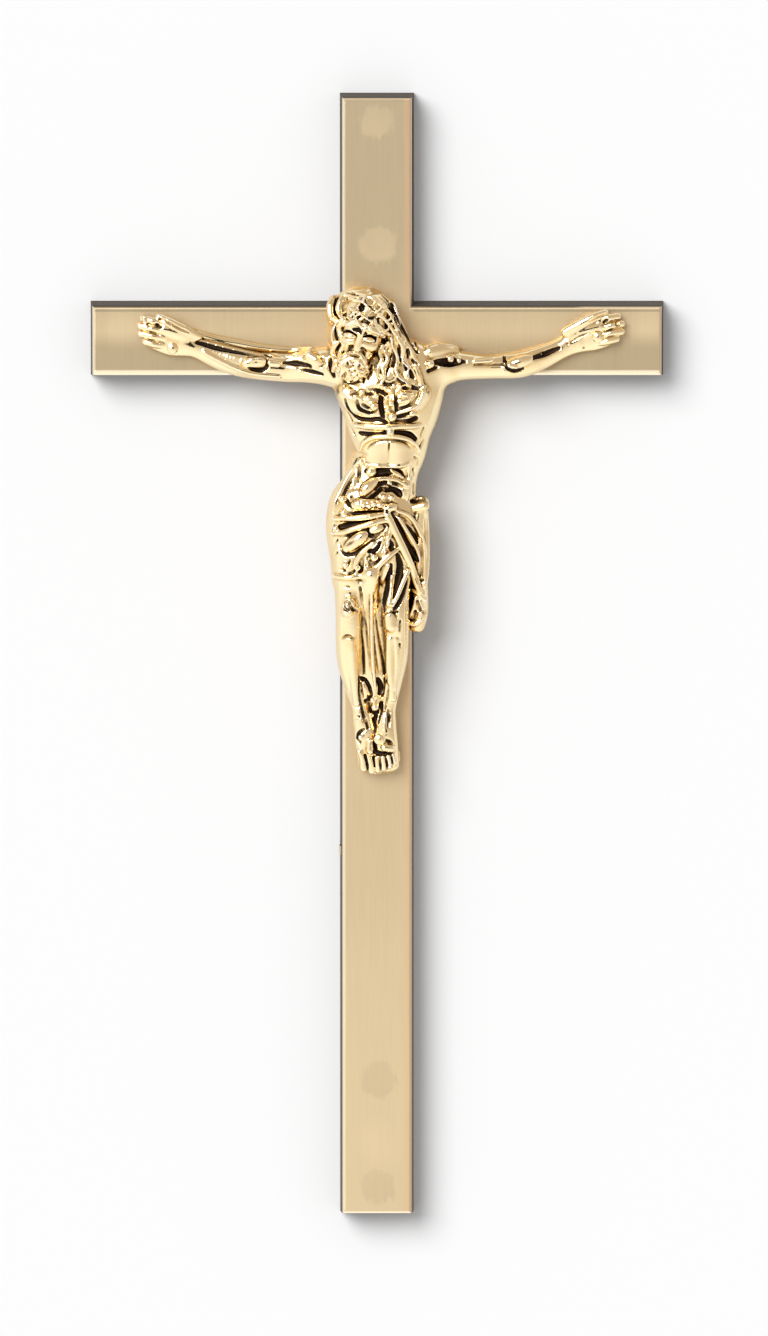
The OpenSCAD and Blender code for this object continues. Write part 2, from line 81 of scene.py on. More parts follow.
# The figure's lengths are in shares, hundredths of its height
SHARE = 0.856 * CROSS_W / 100
MOST_OUT = (FACE_Y - CAD_BOX[0][1]) / SHARE


# ---------------------------------------------------------------- sizes and colours

def colour(name, default, description):
    return bpy.props.FloatVectorProperty(name=name, description=description, default=default,
                                         subtype="COLOR", size=3, min=0, max=1)


def length(name, default, description):
    return bpy.props.FloatProperty(name=name, description=description, default=default,
                                   min=0, subtype="DISTANCE", unit="LENGTH")


def factor(name, default, description):
    return bpy.props.FloatProperty(name=name, description=description, default=default,
                                   min=0, max=1, subtype="FACTOR")


class CrossFinish(bpy.types.PropertyGroup):
    """The satin cross and the sheet behind it"""
    face: colour("Face", (0.716, 0.575, 0.365), "Satin gold of the front face")
    upper: colour("Upper arm", (0.515, 0.42, 0.275), "Satin gold of the arm over the head")
    # Edge: the rounded edge's colour, lightened well past the face's as a painted highlight
    bevel: colour("Edge", (0.98, 0.87, 0.66), "Bright rounded edge")
    # Side wall: a near-black colour that paints the shade the side walls show, not an unpolished finish
    wall: colour("Side wall", (0.055, 0.042, 0.033), "Dark unpolished side walls")
    sheet: colour("Back sheet", (0.075, 0.066, 0.056), "Lacquer on the back sheet")
    grain: length("Grain", 0.12 * MM, "Width of one line of the brushed grain")
    roughness: factor("Roughness", 0.42, "Roughness of the satin face")


class FigureFinish(bpy.types.PropertyGroup):
    """The cast figure and its nails"""
    gold: colour("Gold", (0.95, 0.80, 0.51), "Polished gold of the figure")
    # Ochre: deeper gold painted as shade down the figure's sides and round its creases, with random clouds
    # of it
    ochre_shade: colour("Ochre", (0.74, 0.47, 0.16), "Deeper gold round the creases and down the sides")
    # Crest: paler gold painted on the raised beads as a highlight, not a rubbed finish
    crest: colour("Crest", (1.0, 0.95, 0.84), "Paler gold rubbed bright on the raised beads")
    # Crease: near-black gold in the creases and grooves, partly tarnish and partly painted shade
    tarnish_and_shade: colour("Crease", (0.026, 0.016, 0.010), "Tarnish in the creases")
    nail: colour("Nail", (0.96, 0.81, 0.51), "Polished gold of the nails")
    voxel: length("Voxel", 0.16 * MM, "Size of one voxel of the figure's clay")
    roughness: factor("Roughness", 0.09, "Roughness of the polished gold")


class HangerFinish(bpy.types.PropertyGroup):
    """The screws, clips, strap and ring"""
    zinc: colour("Zinc", (0.60, 0.60, 0.58), "Zinc plating of the screws and clips")
    steel: colour("Ring steel", (0.76, 0.69, 0.54), "Brass-washed steel of the strap and ring")


class StudioSettings(bpy.types.PropertyGroup):
    """The ground, lamps and camera"""
    height: bpy.props.FloatProperty(name="Camera height", default=math.radians(6.2), subtype="ANGLE",
                                    unit="ROTATION", description="How far the camera stands over the cross")
    away: length("Camera distance", 2.5, "How far the camera stands from the cross")
    frame_h: length("Frame height", 0.2418, "Height of the picture at the cross")
    ground: colour("Ground", (0.97, 0.97, 0.97), "Pale ground behind the cross")
    ambient: factor("Ambient", 0.42, "Strength of the light from all round")


# ---------------------------------------------------------------- clay

# Radii under this make a thin line, and how far a thin bead may fall below its highest place, in shares
THIN, MOST_DROP = 1, 3.6
# How long a line of a single point is, in shares, and how far a groove's painted shade and tarnish reach,
# in radii
DOT, GROOVE_SHADE_REACH = 0.05, 1.5
# The distance that stands for open air in a new block, and for nothing yet in a new form
AIR, NOTHING = 3.0, 9.0


class Clay:
    """A block of voxels that holds distances to a surface, below zero inside it. Forms are melted
    in and carved out. Lengths are shares, hundredths of the figure's height: across, out, up."""

    def __init__(self, low, high, step):
        self.low, self.step = np.array(low, float), step
        self.count = [int(math.ceil((b - a) / step)) + 1 for a, b in zip(low, high)]
        self.field = np.full(self.count, AIR, np.float32)
        self.grooves = []

    def span(self, low, high, within=None):
        """Slices of the block between two corners, and its coordinates along the three axes."""
        cut, at = [], []
        for i in range(3):
            first, last = (within[i].start, within[i].stop) if within else (0, self.count[i])
            a = max(first, int((low[i] - self.low[i]) / self.step))
            b = max(a, min(last, int((high[i] - self.low[i]) / self.step) + 2))
            cut.append(slice(a, b))
            shape = [1, 1, 1]
            shape[i] = -1
            at.append((self.low[i] + self.step * np.arange(a, b)).astype(np.float32).reshape(shape))
        return tuple(cut), at

    def melt(self, cut, form, soft, sign=1):
        """Joins a form with the clay, or takes it out where the sign is -1, over a soft seam."""
        mine = sign * self.field[cut]
        seam = np.square(np.maximum(soft - np.abs(mine - form), 0)) / (4 * soft)
        self.field[cut] = sign * (np.minimum(mine, form) - seam)

    def limb(self, rings, soft, sign=1, steps=1):
        """A smooth limb through rings of across, out, up, half width, half depth."""
        rings = smooth(rings, steps).astype(np.float32)
        margin = soft + 2.5 * self.step
        reach = rings[:, 3:].max(1)[:, None] + margin
        cut, _ = self.span((rings[:, :3] - reach).min(0), (rings[:, :3] + reach).max(0))
        form = np.full([c.stop - c.start for c in cut], NOTHING, np.float32)
        for a, b in zip(rings[:-1], rings[1:]):
            r = max(a[3:].max(), b[3:].max()) + margin
            sub, at = self.span(np.minimum(a[:3], b[:3]) - r, np.maximum(a[:3], b[:3]) + r, cut)
            here = tuple(slice(s.start - c.start, s.stop - c.start) for s, c in zip(sub, cut))
            run = b[:3] - a[:3]
            along = run / max(float(np.linalg.norm(run)), 1e-6)
            flat = max(float(np.hypot(along[0], along[2])), 1e-6)
            across = np.array([-along[2] / flat, 0, along[0] / flat], np.float32)
            deep = np.cross(along, across)
            off = [at[i] - a[i] for i in range(3)]
            t = np.clip(dotted(off, run) / max(float(run @ run), 1e-9), 0, 1)
            off = [off[i] - t * run[i] for i in range(3)]
            half = a[3] + (b[3] - a[3]) * t
            depth = a[4] + (b[4] - a[4]) * t
            q = np.square(dotted(off, across) / half)
            q += np.square(dotted(off, deep) / depth)
            q += np.square(dotted(off, along) / np.minimum(half, depth))
            q = np.sqrt(q) + 1e-5
            size = np.sqrt(sum(o * o for o in off)) + 1e-6
            form[here] = np.minimum(form[here], size * (1 - 1 / q))
        self.melt(cut, form, soft, sign)

    def height(self):
        """How far out the clay's front stands over each place of the cross's face."""
        inside = self.field < 0
        last = inside.shape[1] - 1
        top = last - np.argmax(inside[:, ::-1, :], axis=1)
        x, z = np.indices(top.shape)
        a = self.field[x, top, z]
        b = self.field[x, np.minimum(top + 1, last), z]
        out = self.low[1] + self.step * (top + a / np.minimum(a - b, -1e-6))
        return np.where(inside.any(axis=1), out, 0).astype(np.float32)

    def relief(self, rows):
        """Beads and grooves laid on the clay's front as it stands: rows of a sign, a seam, a lift in
        radii and a line of across, up, radius. A thin bead ends where the front drops away."""
        height = self.height()
        for sign, soft, lift, line in rows:
            if len(line) == 1:
                line = np.vstack([line, np.add(line, (DOT, 0, 0))])
            line = smooth(line, 4)
            i, k = ((line[:, n] - self.low[2 * n]) / self.step for n in (0, 1))
            i, k = np.clip(i, 0, self.count[0] - 2), np.clip(k, 0, self.count[2] - 2)
            m, n = i.astype(int), k.astype(int)
            u, w = i - m, k - n
            out = ((1 - u) * (1 - w) * height[m, n] + u * (1 - w) * height[m + 1, n]
                   + (1 - u) * w * height[m, n + 1] + u * w * height[m + 1, n + 1])
            pad = np.pad(out, 2, mode="edge")
            out = (pad[:-4] + 2 * pad[1:-3] + 2 * pad[2:-2] + 2 * pad[3:-1] + pad[4:]) / 8
            if sign > 0 and line[:, 2].max() < THIN:
                stays = out > out.max() - MOST_DROP
                if stays.sum() > 1:
                    line, out = line[stays], out[stays]
            r = line[:, 2]
            self.limb(np.column_stack([line[:, 0], out + lift * r, line[:, 1], r, r]), soft, sign)
            if sign < 0:
                self.grooves.append(np.column_stack([line[:, 0], out, line[:, 1], r, out + lift * r]))

    # Groove depth, which darkens the figure's gold as tarnish and painted shade
    def groove_shade(self, points):
        """How deep points lie in the grooves: 0 on the open surface, 1 on a wide groove's floor."""
        groove_shade = np.zeros(len(points))
        middle = [0, 4, 2]
        for line in self.grooves:
            reach = 2 * GROOVE_SHADE_REACH * line[:, 3].max()
            low, high = line[:, :3].min(0) - reach, line[:, :3].max(0) + reach
            near = np.flatnonzero(((points > low) & (points < high)).all(1))
            p = points[near]
            best = np.zeros(len(near))
            for a, b in zip(line[:-1], line[1:]):
                run = (b - a)[middle]
                t = np.clip((p - a[middle]) @ run / max(run @ run, 1e-9), 0, 1)
                far = np.linalg.norm(p - a[middle] - t[:, None] * run, axis=1)
                r = a[3] + (b[3] - a[3]) * t
                deep = (a[1] + (b[1] - a[1]) * t - p[:, 1]) / r
                beside, below, wide = (1.2 - far / r) / 0.3, deep / 0.55, (r - 0.15) / 0.3
                best = np.maximum(best, np.clip(beside, 0, 1) * np.clip(below, 0, 1) * np.clip(wide, 0, 1))
            groove_shade[near] = np.maximum(groove_shade[near], best)
        return groove_shade


def dotted(off, way):
    """How far the offsets run along a direction."""
    return sum(off[i] * way[i] for i in range(3))


def smooth(rings, steps):
    """A smooth row of rings through the given ones, by cubic curves."""
    r = np.asarray(rings, float)
    if len(r) < 3 or steps < 2:
        return r
    p = np.vstack([r[0], r, r[-1]])
    t = (np.arange(steps) / steps)[:, None]
    rows = [0.5 * (2 * b + (c - a) * t + (2 * a - 5 * b + 4 * c - d) * t * t
                   + (3 * b - a - 3 * c + d) * t ** 3)
            for a, b, c, d in zip(p[:-3], p[1:-2], p[2:-1], p[3:])]
    return np.vstack(rows + [r[-1:]])


def blurred(block, r):
    """A box blur over r voxels each way."""
    for axis in range(3):
        n = block.shape[axis]
        total = np.cumsum(block, axis=axis, dtype=np.float32)
        total = np.concatenate([np.zeros_like(np.take(total, [0], axis=axis)), total], axis=axis)
        last, first = np.minimum(np.arange(n) + r + 1, n), np.maximum(np.arange(n) - r, 0)
        block = (np.take(total, last, axis=axis) - np.take(total, first, axis=axis)) / (2 * r + 1)
    return block


def skin(field, low, step):
    """Surface nets: a vertex in each cell that the surface crosses, a quad for each crossed edge."""
    inside = field < 0
    n = np.array(field.shape)
    count = np.zeros(n - 1, np.uint8)
    for i in range(8):
        a, b, c = i & 1, i >> 1 & 1, i >> 2
        count += inside[a:n[0] - 1 + a, b:n[1] - 1 + b, c:n[2] - 1 + c]
    cells = np.argwhere((count > 0) & (count < 8))
    number = np.full(n - 1, -1, np.int32)
    number[tuple(cells.T)] = np.arange(len(cells))
    total, hits = np.zeros((len(cells), 3), np.float32), np.zeros(len(cells), np.float32)
    quads = []
    unit = np.eye(3, dtype=int)
    for axis in range(3):
        one, two = unit[(axis + 1) % 3], unit[(axis + 2) % 3]
        for corner in (0 * one, one, two, one + two):
            a = cells + corner
            fa, fb = field[tuple(a.T)], field[tuple((a + unit[axis]).T)]
            cross = (fa < 0) != (fb < 0)
            t = np.where(cross, fa / np.where(cross, fa - fb, 1), 0)
            total += (corner + t[:, None] * unit[axis]) * cross[:, None]
            hits += cross
        at = np.argwhere(np.diff(inside, axis=axis))
        at = at[(at @ one > 0) & (at @ two > 0) & (at @ one < n @ one - 1) & (at @ two < n @ two - 1)]
        quad = np.stack([number[tuple((at - o).T)] for o in (one + two, two, 0 * one, one)], 1)
        back = ~inside[tuple(at.T)]
        quad[back] = quad[back][:, ::-1]
        quads.append(quad)
    return (cells + total / hits[:, None]) * step + low, np.vstack(quads)


# ---------------------------------------------------------------- the figure's forms

# The numbers of limb_rows and relief_rows are tenths of a share, but a line's radius is in hundredths.

def limb_rows(*groups):
    """Limbs from groups of a seam and steps, then each limb's rings of five whole numbers."""
    return [(soft, steps, np.reshape(limb, (-1, 5)) / 10)
            for soft, steps, *limbs in groups for limb in limbs]


def relief_rows(*groups):
    """Lines of relief from groups of a sign, seam and lift, then each line's points of three numbers."""
    return [(sign, soft, lift, np.reshape(line, (-1, 3)) / (10, 10, 100))
            for sign, soft, lift, *lines in groups for line in lines]


# Limbs: seam, steps, rings of across, out, up, half width, half depth
BODY = limb_rows(
    (0.8, 10, (4,32,18,34,30, 8,30,-10,54,36, 15,28,-44,94,46, 26,26,-84,114,59, 29,24,-130,103,63,
    28,23,-174,88,58, 29,22,-218,74,48, 19,22,-254,69,42, 6,23,-296,76,45, -3,24,-340,88,50,
    -8,25,-390,86,52, -8,25,-440,76,50)),
    (1.2, 6, (-20,30,-56,46,42, -75,29,-52,44,40, -109,25,-50,39,35, -144,20,-51,34,30, -183,16,-56,28,25,
    -241,15,-51,28,25, -284,13,-43,29,24, -327,11,-30,26,20, -368,10,-15,21,16, -395,9,-4,25,14),
    (40,30,-58,48,42, 91,29,-54,47,40, 132,25,-52,40,35, 170,20,-50,31,29, 233,16,-52,25,24,
    294,15,-47,28,25, 335,12,-34,25,21, 379,10,-15,21,16, 410,9,2,25,14)),
    (0.6, 6, (-385,9,-9,22,14, -415,8,2,34,15, -450,9,19,37,14), (400,9,-2,23,14, 435,8,13,35,15,
    465,9,25,37,14)),
    (0.7, 6, (-45,30,-380,46,46, -50,36,-450,39,40, -55,44,-515,32,35, -57,48,-565,28,33, -57,40,-610,28,30,
    -54,32,-660,27,28, -45,26,-710,22,23, -34,22,-754,18,19, -28,21,-785,20,19), (34,30,-380,46,46,
    38,38,-450,38,40, 39,47,-515,30,35, 38,52,-560,28,33, 39,44,-600,28,31, 37,36,-650,27,29,
    30,31,-710,20,23, 24,29,-754,16,19, 19,31,-785,19,19)),
    (0.5, 6, (-10,16,-420,30,22, -10,13,-600,22,19, -6,10,-800,20,16)),
    (0.6, 6, (-30,22,-774,19,19, -20,22,-820,26,20, -12,19,-876,26,13), (20,33,-774,18,19, 19,32,-820,24,23,
    21,26,-874,25,15)),
    (1.2, 6, (-28,46,-20,30,32, 0,34,-60,40,34)))
CLOTH = limb_rows(
    (0.35, 8, (-2,24,-324,86,50, -6,25,-346,95,59, -9,26,-385,96,62, -8,27,-425,91,62, -8,27,-454,84,58),
    (-49,33,-430,49,50, -50,36,-487,43,47), (92,32,-332,16,20, 84,32,-365,17,24, 87,30,-420,17,24,
    87,29,-490,18,24, 86,29,-555,20,24, 82,26,-584,17,16)))
HAIR = limb_rows(
    (0.8, 8, (-27,38,93,34,20, -28,41,82,51,34, -29,42,67,63,44, -29,42,50,69,50, -34,40,10,68,46,
    -34,36,-30,56,40)),
    (0.4, 8, (-66,50,50,20,24, -78,54,10,19,24, -75,50,-40,16,22, -68,44,-80,10,14), (12,56,72,20,26,
    31,56,34,24,28, 47,53,-10,25,27, 61,51,-52,24,24, 69,49,-94,16,18)),
    (0.3, 8, (-69,40,93,11,16, -86,43,76,14,22, -89,46,54,15,24, -78,49,36,14,24)))
# Relief on the front: sign, seam, lift in radii, lines of across, up, radius
CHEST_FORMS = relief_rows(
    (1, 0.5, -0.6, (-58,-104,240, -37,-121,300, -12,-121,260)),
    (1, 0.5, -0.62, (47,-116,270, 66,-119,300, 84,-104,240)),
    (1, 1, -0.84, (4,-216,240, 4,-241,240), (45,-216,240, 45,-241,240)),
    (-1, 0.2, 0.1, (-21,-263,60, -2,-266,85, 21,-263,90, 39,-263,70, 56,-274,35)),
    (1, 0.4, -0.5, (51,-311,150, 56,-290,130)))
CHEST_RELIEF = relief_rows(
    (1, 0.3, 0, (4,-83,50), (16,-90,50), (33,-83,55), (47,-88,50)),
    (-1, 0.3, 0, (10,-77,35, 25,-83,40, 39,-77,35), (-23,-100,35, -12,-102,40), (-53,-104,25, -43,-98,30)),
    (1, 0.3, -0.1, (-45,-108,50, -33,-112,55)),
    (-1, 0.12, 0, (-66,-114,30, -60,-133,45, -47,-148,50, -33,-155,50, -14,-156,50, 4,-154,48, 19,-161,40),
    (-41,-116,30, -37,-131,45, -25,-139,50, -10,-142,40, 0,-135,30)),
    (-1, 0.3, 0, (-29,-123,35, -19,-131,40)),
    (1, 0.3, 0.1, (-6,-127,90)),
    (-1, 0.3, 0, (-12,-92,30, 4,-96,45, 19,-104,40)),
    (-1, 0.12, 0, (8,-108,42, 8,-129,55, 12,-150,50)),
    (1, 0.3, 0, (-2,-106,50), (-19,-110,50), (-31,-98,60), (27,-96,50), (19,-110,50), (29,-121,65),
    (21,-135,60)),
    (1, 0.3, 0.2, (31,-149,95)),
    (-1, 0.12, 0, (37,-98,30, 39,-119,45, 40,-137,45), (41,-133,35, 58,-129,42, 72,-121,35, 80,-112,25)),
    (1, 0.3, 0.2, (43,-141,35, 64,-134,42, 82,-126,35)),
    (-1, 0.12, 0, (43,-150,40, 58,-145,50, 70,-136,35)),
    (1, 0.3, 0.3, (72,-142,70)),
    (-1, 0.12, 0, (39,-157,30, 58,-158,35, 70,-157,50, 80,-153,50)),
    (1, 0.3, 0.1, (47,-116,55, 64,-112,55)),
    (1, 0.3, 0, (51,-102,50, 70,-104,50)),
    (-1, 0.3, 0, (56,-90,40, 72,-88,50, 86,-92,40)),
    (1, 0.3, 0.2, (99,-88,35, 93,-104,40, 86,-121,35)),
    (-1, 0.3, 0, (90,-88,30, 84,-106,35, 78,-121,30)),
    (1, 0.2, 0.3, (-43,-168,50, -19,-170,65, 6,-170,60, 25,-170,60, 47,-169,65, 72,-169,60, 88,-168,40)),
    (-1, 0.12, 0, (-35,-185,45, -21,-186,50, -6,-184,30, 8,-183,28, 19,-182,42), (35,-182,30, 51,-183,45,
    66,-187,65, 79,-197,50)),
    (1, 0.3, 0.5, (27,-181,80)),
    (1, 0.2, 0.2, (-33,-220,30, -27,-205,45, -12,-194,50, 6,-191,50, 27,-190,50, 47,-192,50, 66,-198,50,
    80,-210,40, 88,-224,30)),
    (-1, 0.12, 0, (-21,-218,20, -12,-208,27, 4,-201,25, 27,-199,22, 45,-201,28, 58,-205,28, 68,-214,20),
    (25,-203,20, 23,-245,22)),
    (1, 0.3, 0, (-23,-249,25, 2,-252,35, 27,-253,35, 51,-252,35, 66,-247,25)),
    (1, 0.3, 0.5, (-14,-265,80, -8,-265,80)),
    (1, 0.3, 0.7, (29,-261,40, 41,-268,40, 51,-276,30)),
    (1, 0.2, 0.3, (-14,-282,40, 0,-279,45, 14,-278,50, 31,-279,50, 47,-284,45, 62,-294,35)),
    (-1, 0.12, 0, (0,-294,50, 12,-289,60, 27,-287,40, 41,-291,38, 56,-296,25)),
    (1, 0.3, 0.9, (25,-289,60, 26,-295,70)),
    (-1, 0.3, 0, (-37,-255,30, -37,-270,42, -38,-284,25)),
    (1, 0.3, -0.1, (-33,-244,70)),
    (-1, 0.3, 0, (76,-234,20, 85,-239,22, 83,-249,20), (-51,-160,25, -60,-145,25), (-45,-189,25,
    -56,-174,25), (90,-189,28, 97,-174,28), (88,-214,25, 97,-199,25)))
ARM_FORMS = relief_rows(
    (1, 0.5, 0.2, (-409,30,60, -385,21,80, -354,10,90, -319,1,95, -282,-6,95, -245,-13,90, -208,-17,80,
    -171,-19,70, -134,-16,60)),
    (1, 0.3, -0.1, (-267,-43,110, -237,-41,110)),
    (-1, 0.3, 0.1, (-191,-42,40, -165,-43,70, -138,-49,50)),
    (1, 0.4, -0.3, (-138,-28,120, -125,-36,140)),
    (1, 0.4, -0.4, (109,-20,160, 134,-16,170, 158,-18,120)),
    (-1, 0.3, 0.1, (123,-39,70, 150,-39,110, 179,-39,50)),
    (1, 0.3, -0.1, (269,-49,110, 298,-39,130, 315,-32,80)),
    (-1, 0.3, 0.1, (321,-32,50, 346,-24,70, 372,-13,50)))
ARM_RELIEF = relief_rows(
    (-1, 0.15, 0, (-418,16,15, -389,5,35, -368,-2,42, -354,-5,58, -327,-13,58, -302,-18,50, -271,-24,40,
    -243,-28,30)),
    (-1, 0.2, 0, (-261,-53,40, -247,-59,50, -228,-54,40, -224,-36,35, -237,-28,30, -261,-30,30)),
    (1, 0.3, 0, (-259,-36,30, -243,-34,35, -230,-37,30)),
    (-1, 0.3, 0, (-228,-26,40, -218,-31,40)),
    (1, 0.3, 0, (-220,-42,50, -202,-44,45)),
    (-1, 0.3, 0, (-162,-52,30, -136,-59,50, -113,-65,40), (-113,-32,35, -107,-41,35, -113,-47,35)),
    (1, 0.3, 0, (-216,-26,30, -179,-30,40, -150,-26,30)),
    (1, 0.3, -0.2, (-354,-22,40, -313,-43,50, -261,-63,50, -200,-70,40)),
    (1, 0.3, 0.3, (150,-34,80), (167,-37,60)),
    (-1, 0.3, 0, (105,-57,40, 123,-49,50)),
    (1, 0.3, 0, (109,-42,90), (200,-40,50, 234,-37,50)),
    (-1, 0.2, 0, (200,-46,30, 232,-46,30, 259,-45,40), (261,-30,40, 263,-47,50, 276,-59,60, 298,-55,40)),
    (1, 0.3, 0, (271,-47,40, 286,-51,30), (327,-28,35, 337,-25,35), (130,-4,30, 162,-10,40, 177,-20,30)))
CLOTH_FORMS = relief_rows(
    (-1, 0.3, 0.2, (0,-301,50, 14,-296,80, 31,-299,80)),
    (1, 0.2, 0.1, (-27,-307,90, -19,-296,130, -6,-285,90)),
    (1, 0.3, -0.3, (-51,-334,70, -35,-330,130, -12,-330,130, 10,-330,100)),
    (-1, 0.12, 0, (-56,-347,30, -35,-349,55, -10,-347,50, 16,-346,40)),
    (1, 0.2, 0.25, (-86,-361,50, -66,-359,60, -43,-358,65, -14,-354,65, 19,-349,50)),
    (-1, 0.12, 0.1, (-80,-378,50, -66,-375,70, -49,-371,60, -23,-367,50, 2,-362,45, 19,-360,30)),
    (1, 0.2, 0.25, (-90,-390,50, -70,-388,60, -47,-380,65, -19,-371,65, 6,-364,60, 27,-361,50)),
    (1, 0.2, 0, (-62,-421,80, -49,-410,130, -33,-397,130, -23,-390,80)),
    (1, 0.15, 0.15, (-10,-383,70, 2,-379,80, 8,-376,60)),
    (-1, 0.12, 0, (-74,-423,35, -64,-433,42, -47,-431,42, -29,-420,42, -10,-405,40, 10,-391,28),
    (-19,-384,35, -13,-393,50, -2,-394,35, 12,-383,30, 16,-375,35)),
    (1, 0.2, 0.15, (-43,-470,50, -43,-450,60, -31,-429,55, -8,-409,45)),
    (1, 0.2, 0.1, (-23,-464,40, -21,-443,50, -8,-421,50, 12,-398,42)),
    (-1, 0.12, 0, (-14,-427,50, -2,-420,60, 6,-406,40)),
    (1, 0.2, 0.3, (-88,-479,50, -62,-480,60, -31,-476,60, -8,-466,60, 10,-448,65, 27,-433,65, 41,-423,50)),
    (1, 0.2, 0.2, (27,-379,50, 24,-402,50, 16,-423,50, 8,-439,40)),
    (1, 0.2, 0.35, (21,-348,70, 31,-371,75, 43,-398,80, 58,-431,85, 70,-460,85, 80,-489,80, 88,-512,60)),
    (-1, 0.12, 0, (35,-354,35, 45,-377,50, 58,-404,65, 70,-427,80, 81,-445,60)),
    (1, 0.2, 0.25, (45,-359,40, 58,-381,45, 72,-406,50, 84,-429,45, 90,-452,30)),
    (-1, 0.2, 0, (58,-365,25, 66,-379,45, 76,-396,50, 82,-412,30)),
    (1, 0.2, 0.3, (41,-344,40, 62,-352,45, 78,-371,50, 90,-396,50, 97,-427,45, 97,-495,40)),
    (-1, 0.3, 0, (45,-353,22, 58,-361,28, 72,-375,28)),
    (1, 0.3, 0, (99,-350,70, 101,-402,70, 101,-464,70, 97,-501,60), (78,-340,90, 97,-336,110)),
    (-1, 0.15, 0.15, (29,-454,40, 25,-479,65, 19,-510,80, 13,-536,70, 14,-553,40), (43,-435,50, 48,-458,85,
    45,-481,85, 39,-505,55, 33,-524,35)),
    (-1, 0.12, 0, (12,-549,35, 27,-554,45, 41,-551,40), (63,-485,38, 56,-508,50, 47,-530,50, 35,-547,40)))
CLOTH_RELIEF = relief_rows(
    (-1, 0.12, 0, (-33,-315,25, -19,-317,40, -4,-310,45, 8,-298,40)),
    (-1, 0.3, 0, (4,-313,30, 2,-319,25)),
    (1, 0.3, 0, (14,-315,55), (29,-317,55)),
    (-1, 0.3, 0, (10,-325,22, 23,-326,25), (31,-327,22, 43,-328,25)),
    (1, 0.3, 0.3, (-39,-246,30, -56,-271,38, -70,-296,42, -84,-325,42, -90,-348,30)),
    (-1, 0.12, 0, (-47,-269,25, -58,-290,42, -66,-306,42, -74,-319,30)),
    (1, 0.3, 0, (-47,-280,40, -48,-294,45)),
    (-1, 0.3, 0, (-51,-300,28), (-63,-321,40, -58,-331,45, -53,-340,35), (-53,-315,35)),
    (1, 0.3, 0.2, (-70,-321,85)),
    (1, 0.3, 0.1, (-68,-348,75)),
    (-1, 0.3, 0, (-33,-286,20, -33,-300,25, -29,-313,20)),
    (-1, 0.12, 0, (19,-302,45, 33,-300,60, 45,-308,70, 49,-316,35)),
    (1, 0.3, 0.2, (66,-253,30, 66,-288,38, 62,-321,30)),
    (-1, 0.3, 0, (74,-259,22, 76,-271,28), (76,-292,28, 75,-311,25), (70,-327,30, 80,-325,42, 90,-321,30),
    (-23,-329,20, -22,-340,22), (-12,-325,20, -12,-338,22), (-2,-325,22, -1,-338,22), (-33,-323,20,
    -33,-331,20)),
    (1, 0.3, 0, (-28,-331,50), (-16,-333,50), (-6,-329,50), (6,-331,60)),
    (1, 0.3, 0.3, (21,-338,90, 33,-335,90)),
    (-1, 0.3, 0, (19,-333,25, 21,-346,28), (29,-348,30, 41,-351,35)),
    (1, 0.3, 0.1, (-84,-381,70)),
    (-1, 0.3, 0, (-89,-375,25), (-88,-386,25), (-62,-411,30, -56,-408,35, -49,-404,28), (-66,-398,22,
    -56,-394,25), (-78,-410,25, -74,-418,25), (-88,-412,20, -80,-404,20), (-90,-435,20, -78,-429,22),
    (-62,-460,28, -57,-450,35, -56,-443,25), (-74,-464,35, -66,-466,28), (-56,-471,40, -47,-466,35),
    (-23,-453,28, -21,-463,30, -25,-468,25)),
    (1, 0.3, 0, (-65,-455,60), (-39,-460,50)),
    (-1, 0.3, 0, (-21,-440,40, -15,-435,35), (2,-445,30, 8,-435,28, 16,-412,25)),
    (1, 0.3, 0.3, (-6,-438,80)),
    (-1, 0.3, 0, (28,-404,38, 31,-414,50, 29,-422,38), (19,-421,35)),
    (1, 0.3, 0.6, (31,-478,40, 29,-509,42, 25,-534,65)),
    (1, 0.3, 0.5, (64,-468,50, 53,-491,50, 41,-520,45, 31,-538,40)),
    (1, 0.3, 0.2, (23,-455,38, 13,-484,42, 6,-522,42)),
    (-1, 0.3, 0, (90,-402,20, 92,-443,25, 90,-480,25)),
    (1, 0.3, 0.1, (74,-509,40, 86,-518,45, 99,-530,40), (66,-567,40, 76,-546,45, 80,-526,35), (88,-532,40,
    93,-546,45, 86,-563,40), (64,-575,40, 76,-580,60, 90,-571,45, 99,-557,35)),
    (-1, 0.3, 0, (83,-532,28, 89,-549,35, 97,-555,28), (70,-520,25, 67,-542,32, 70,-563,28), (79,-553,30,
    74,-569,28), (93,-489,30)))
LEG_FORMS = relief_rows(
    (1, 1, 0.15, (-12,-476,180, -12,-526,240, -12,-609,240, -10,-692,200, -2,-743,140)),
    (1, 0.8, 0, (-29,-501,120, -28,-547,150, -27,-609,150, -27,-679,120)),
    (1, 0.8, 0.7, (6,-526,130, 7,-568,170, 8,-630,170, 9,-692,120)),
    (-1, 0.12, 0, (-31,-495,40, -19,-499,60, -4,-499,50)),
    (1, 0.4, -0.3, (-56,-532,130, -60,-551,130), (27,-559,130, 29,-580,130)),
    (1, 0.4, -0.35, (-53,-609,80, -49,-671,90, -41,-743,80), (27,-609,90, 27,-671,90, 33,-733,70)))
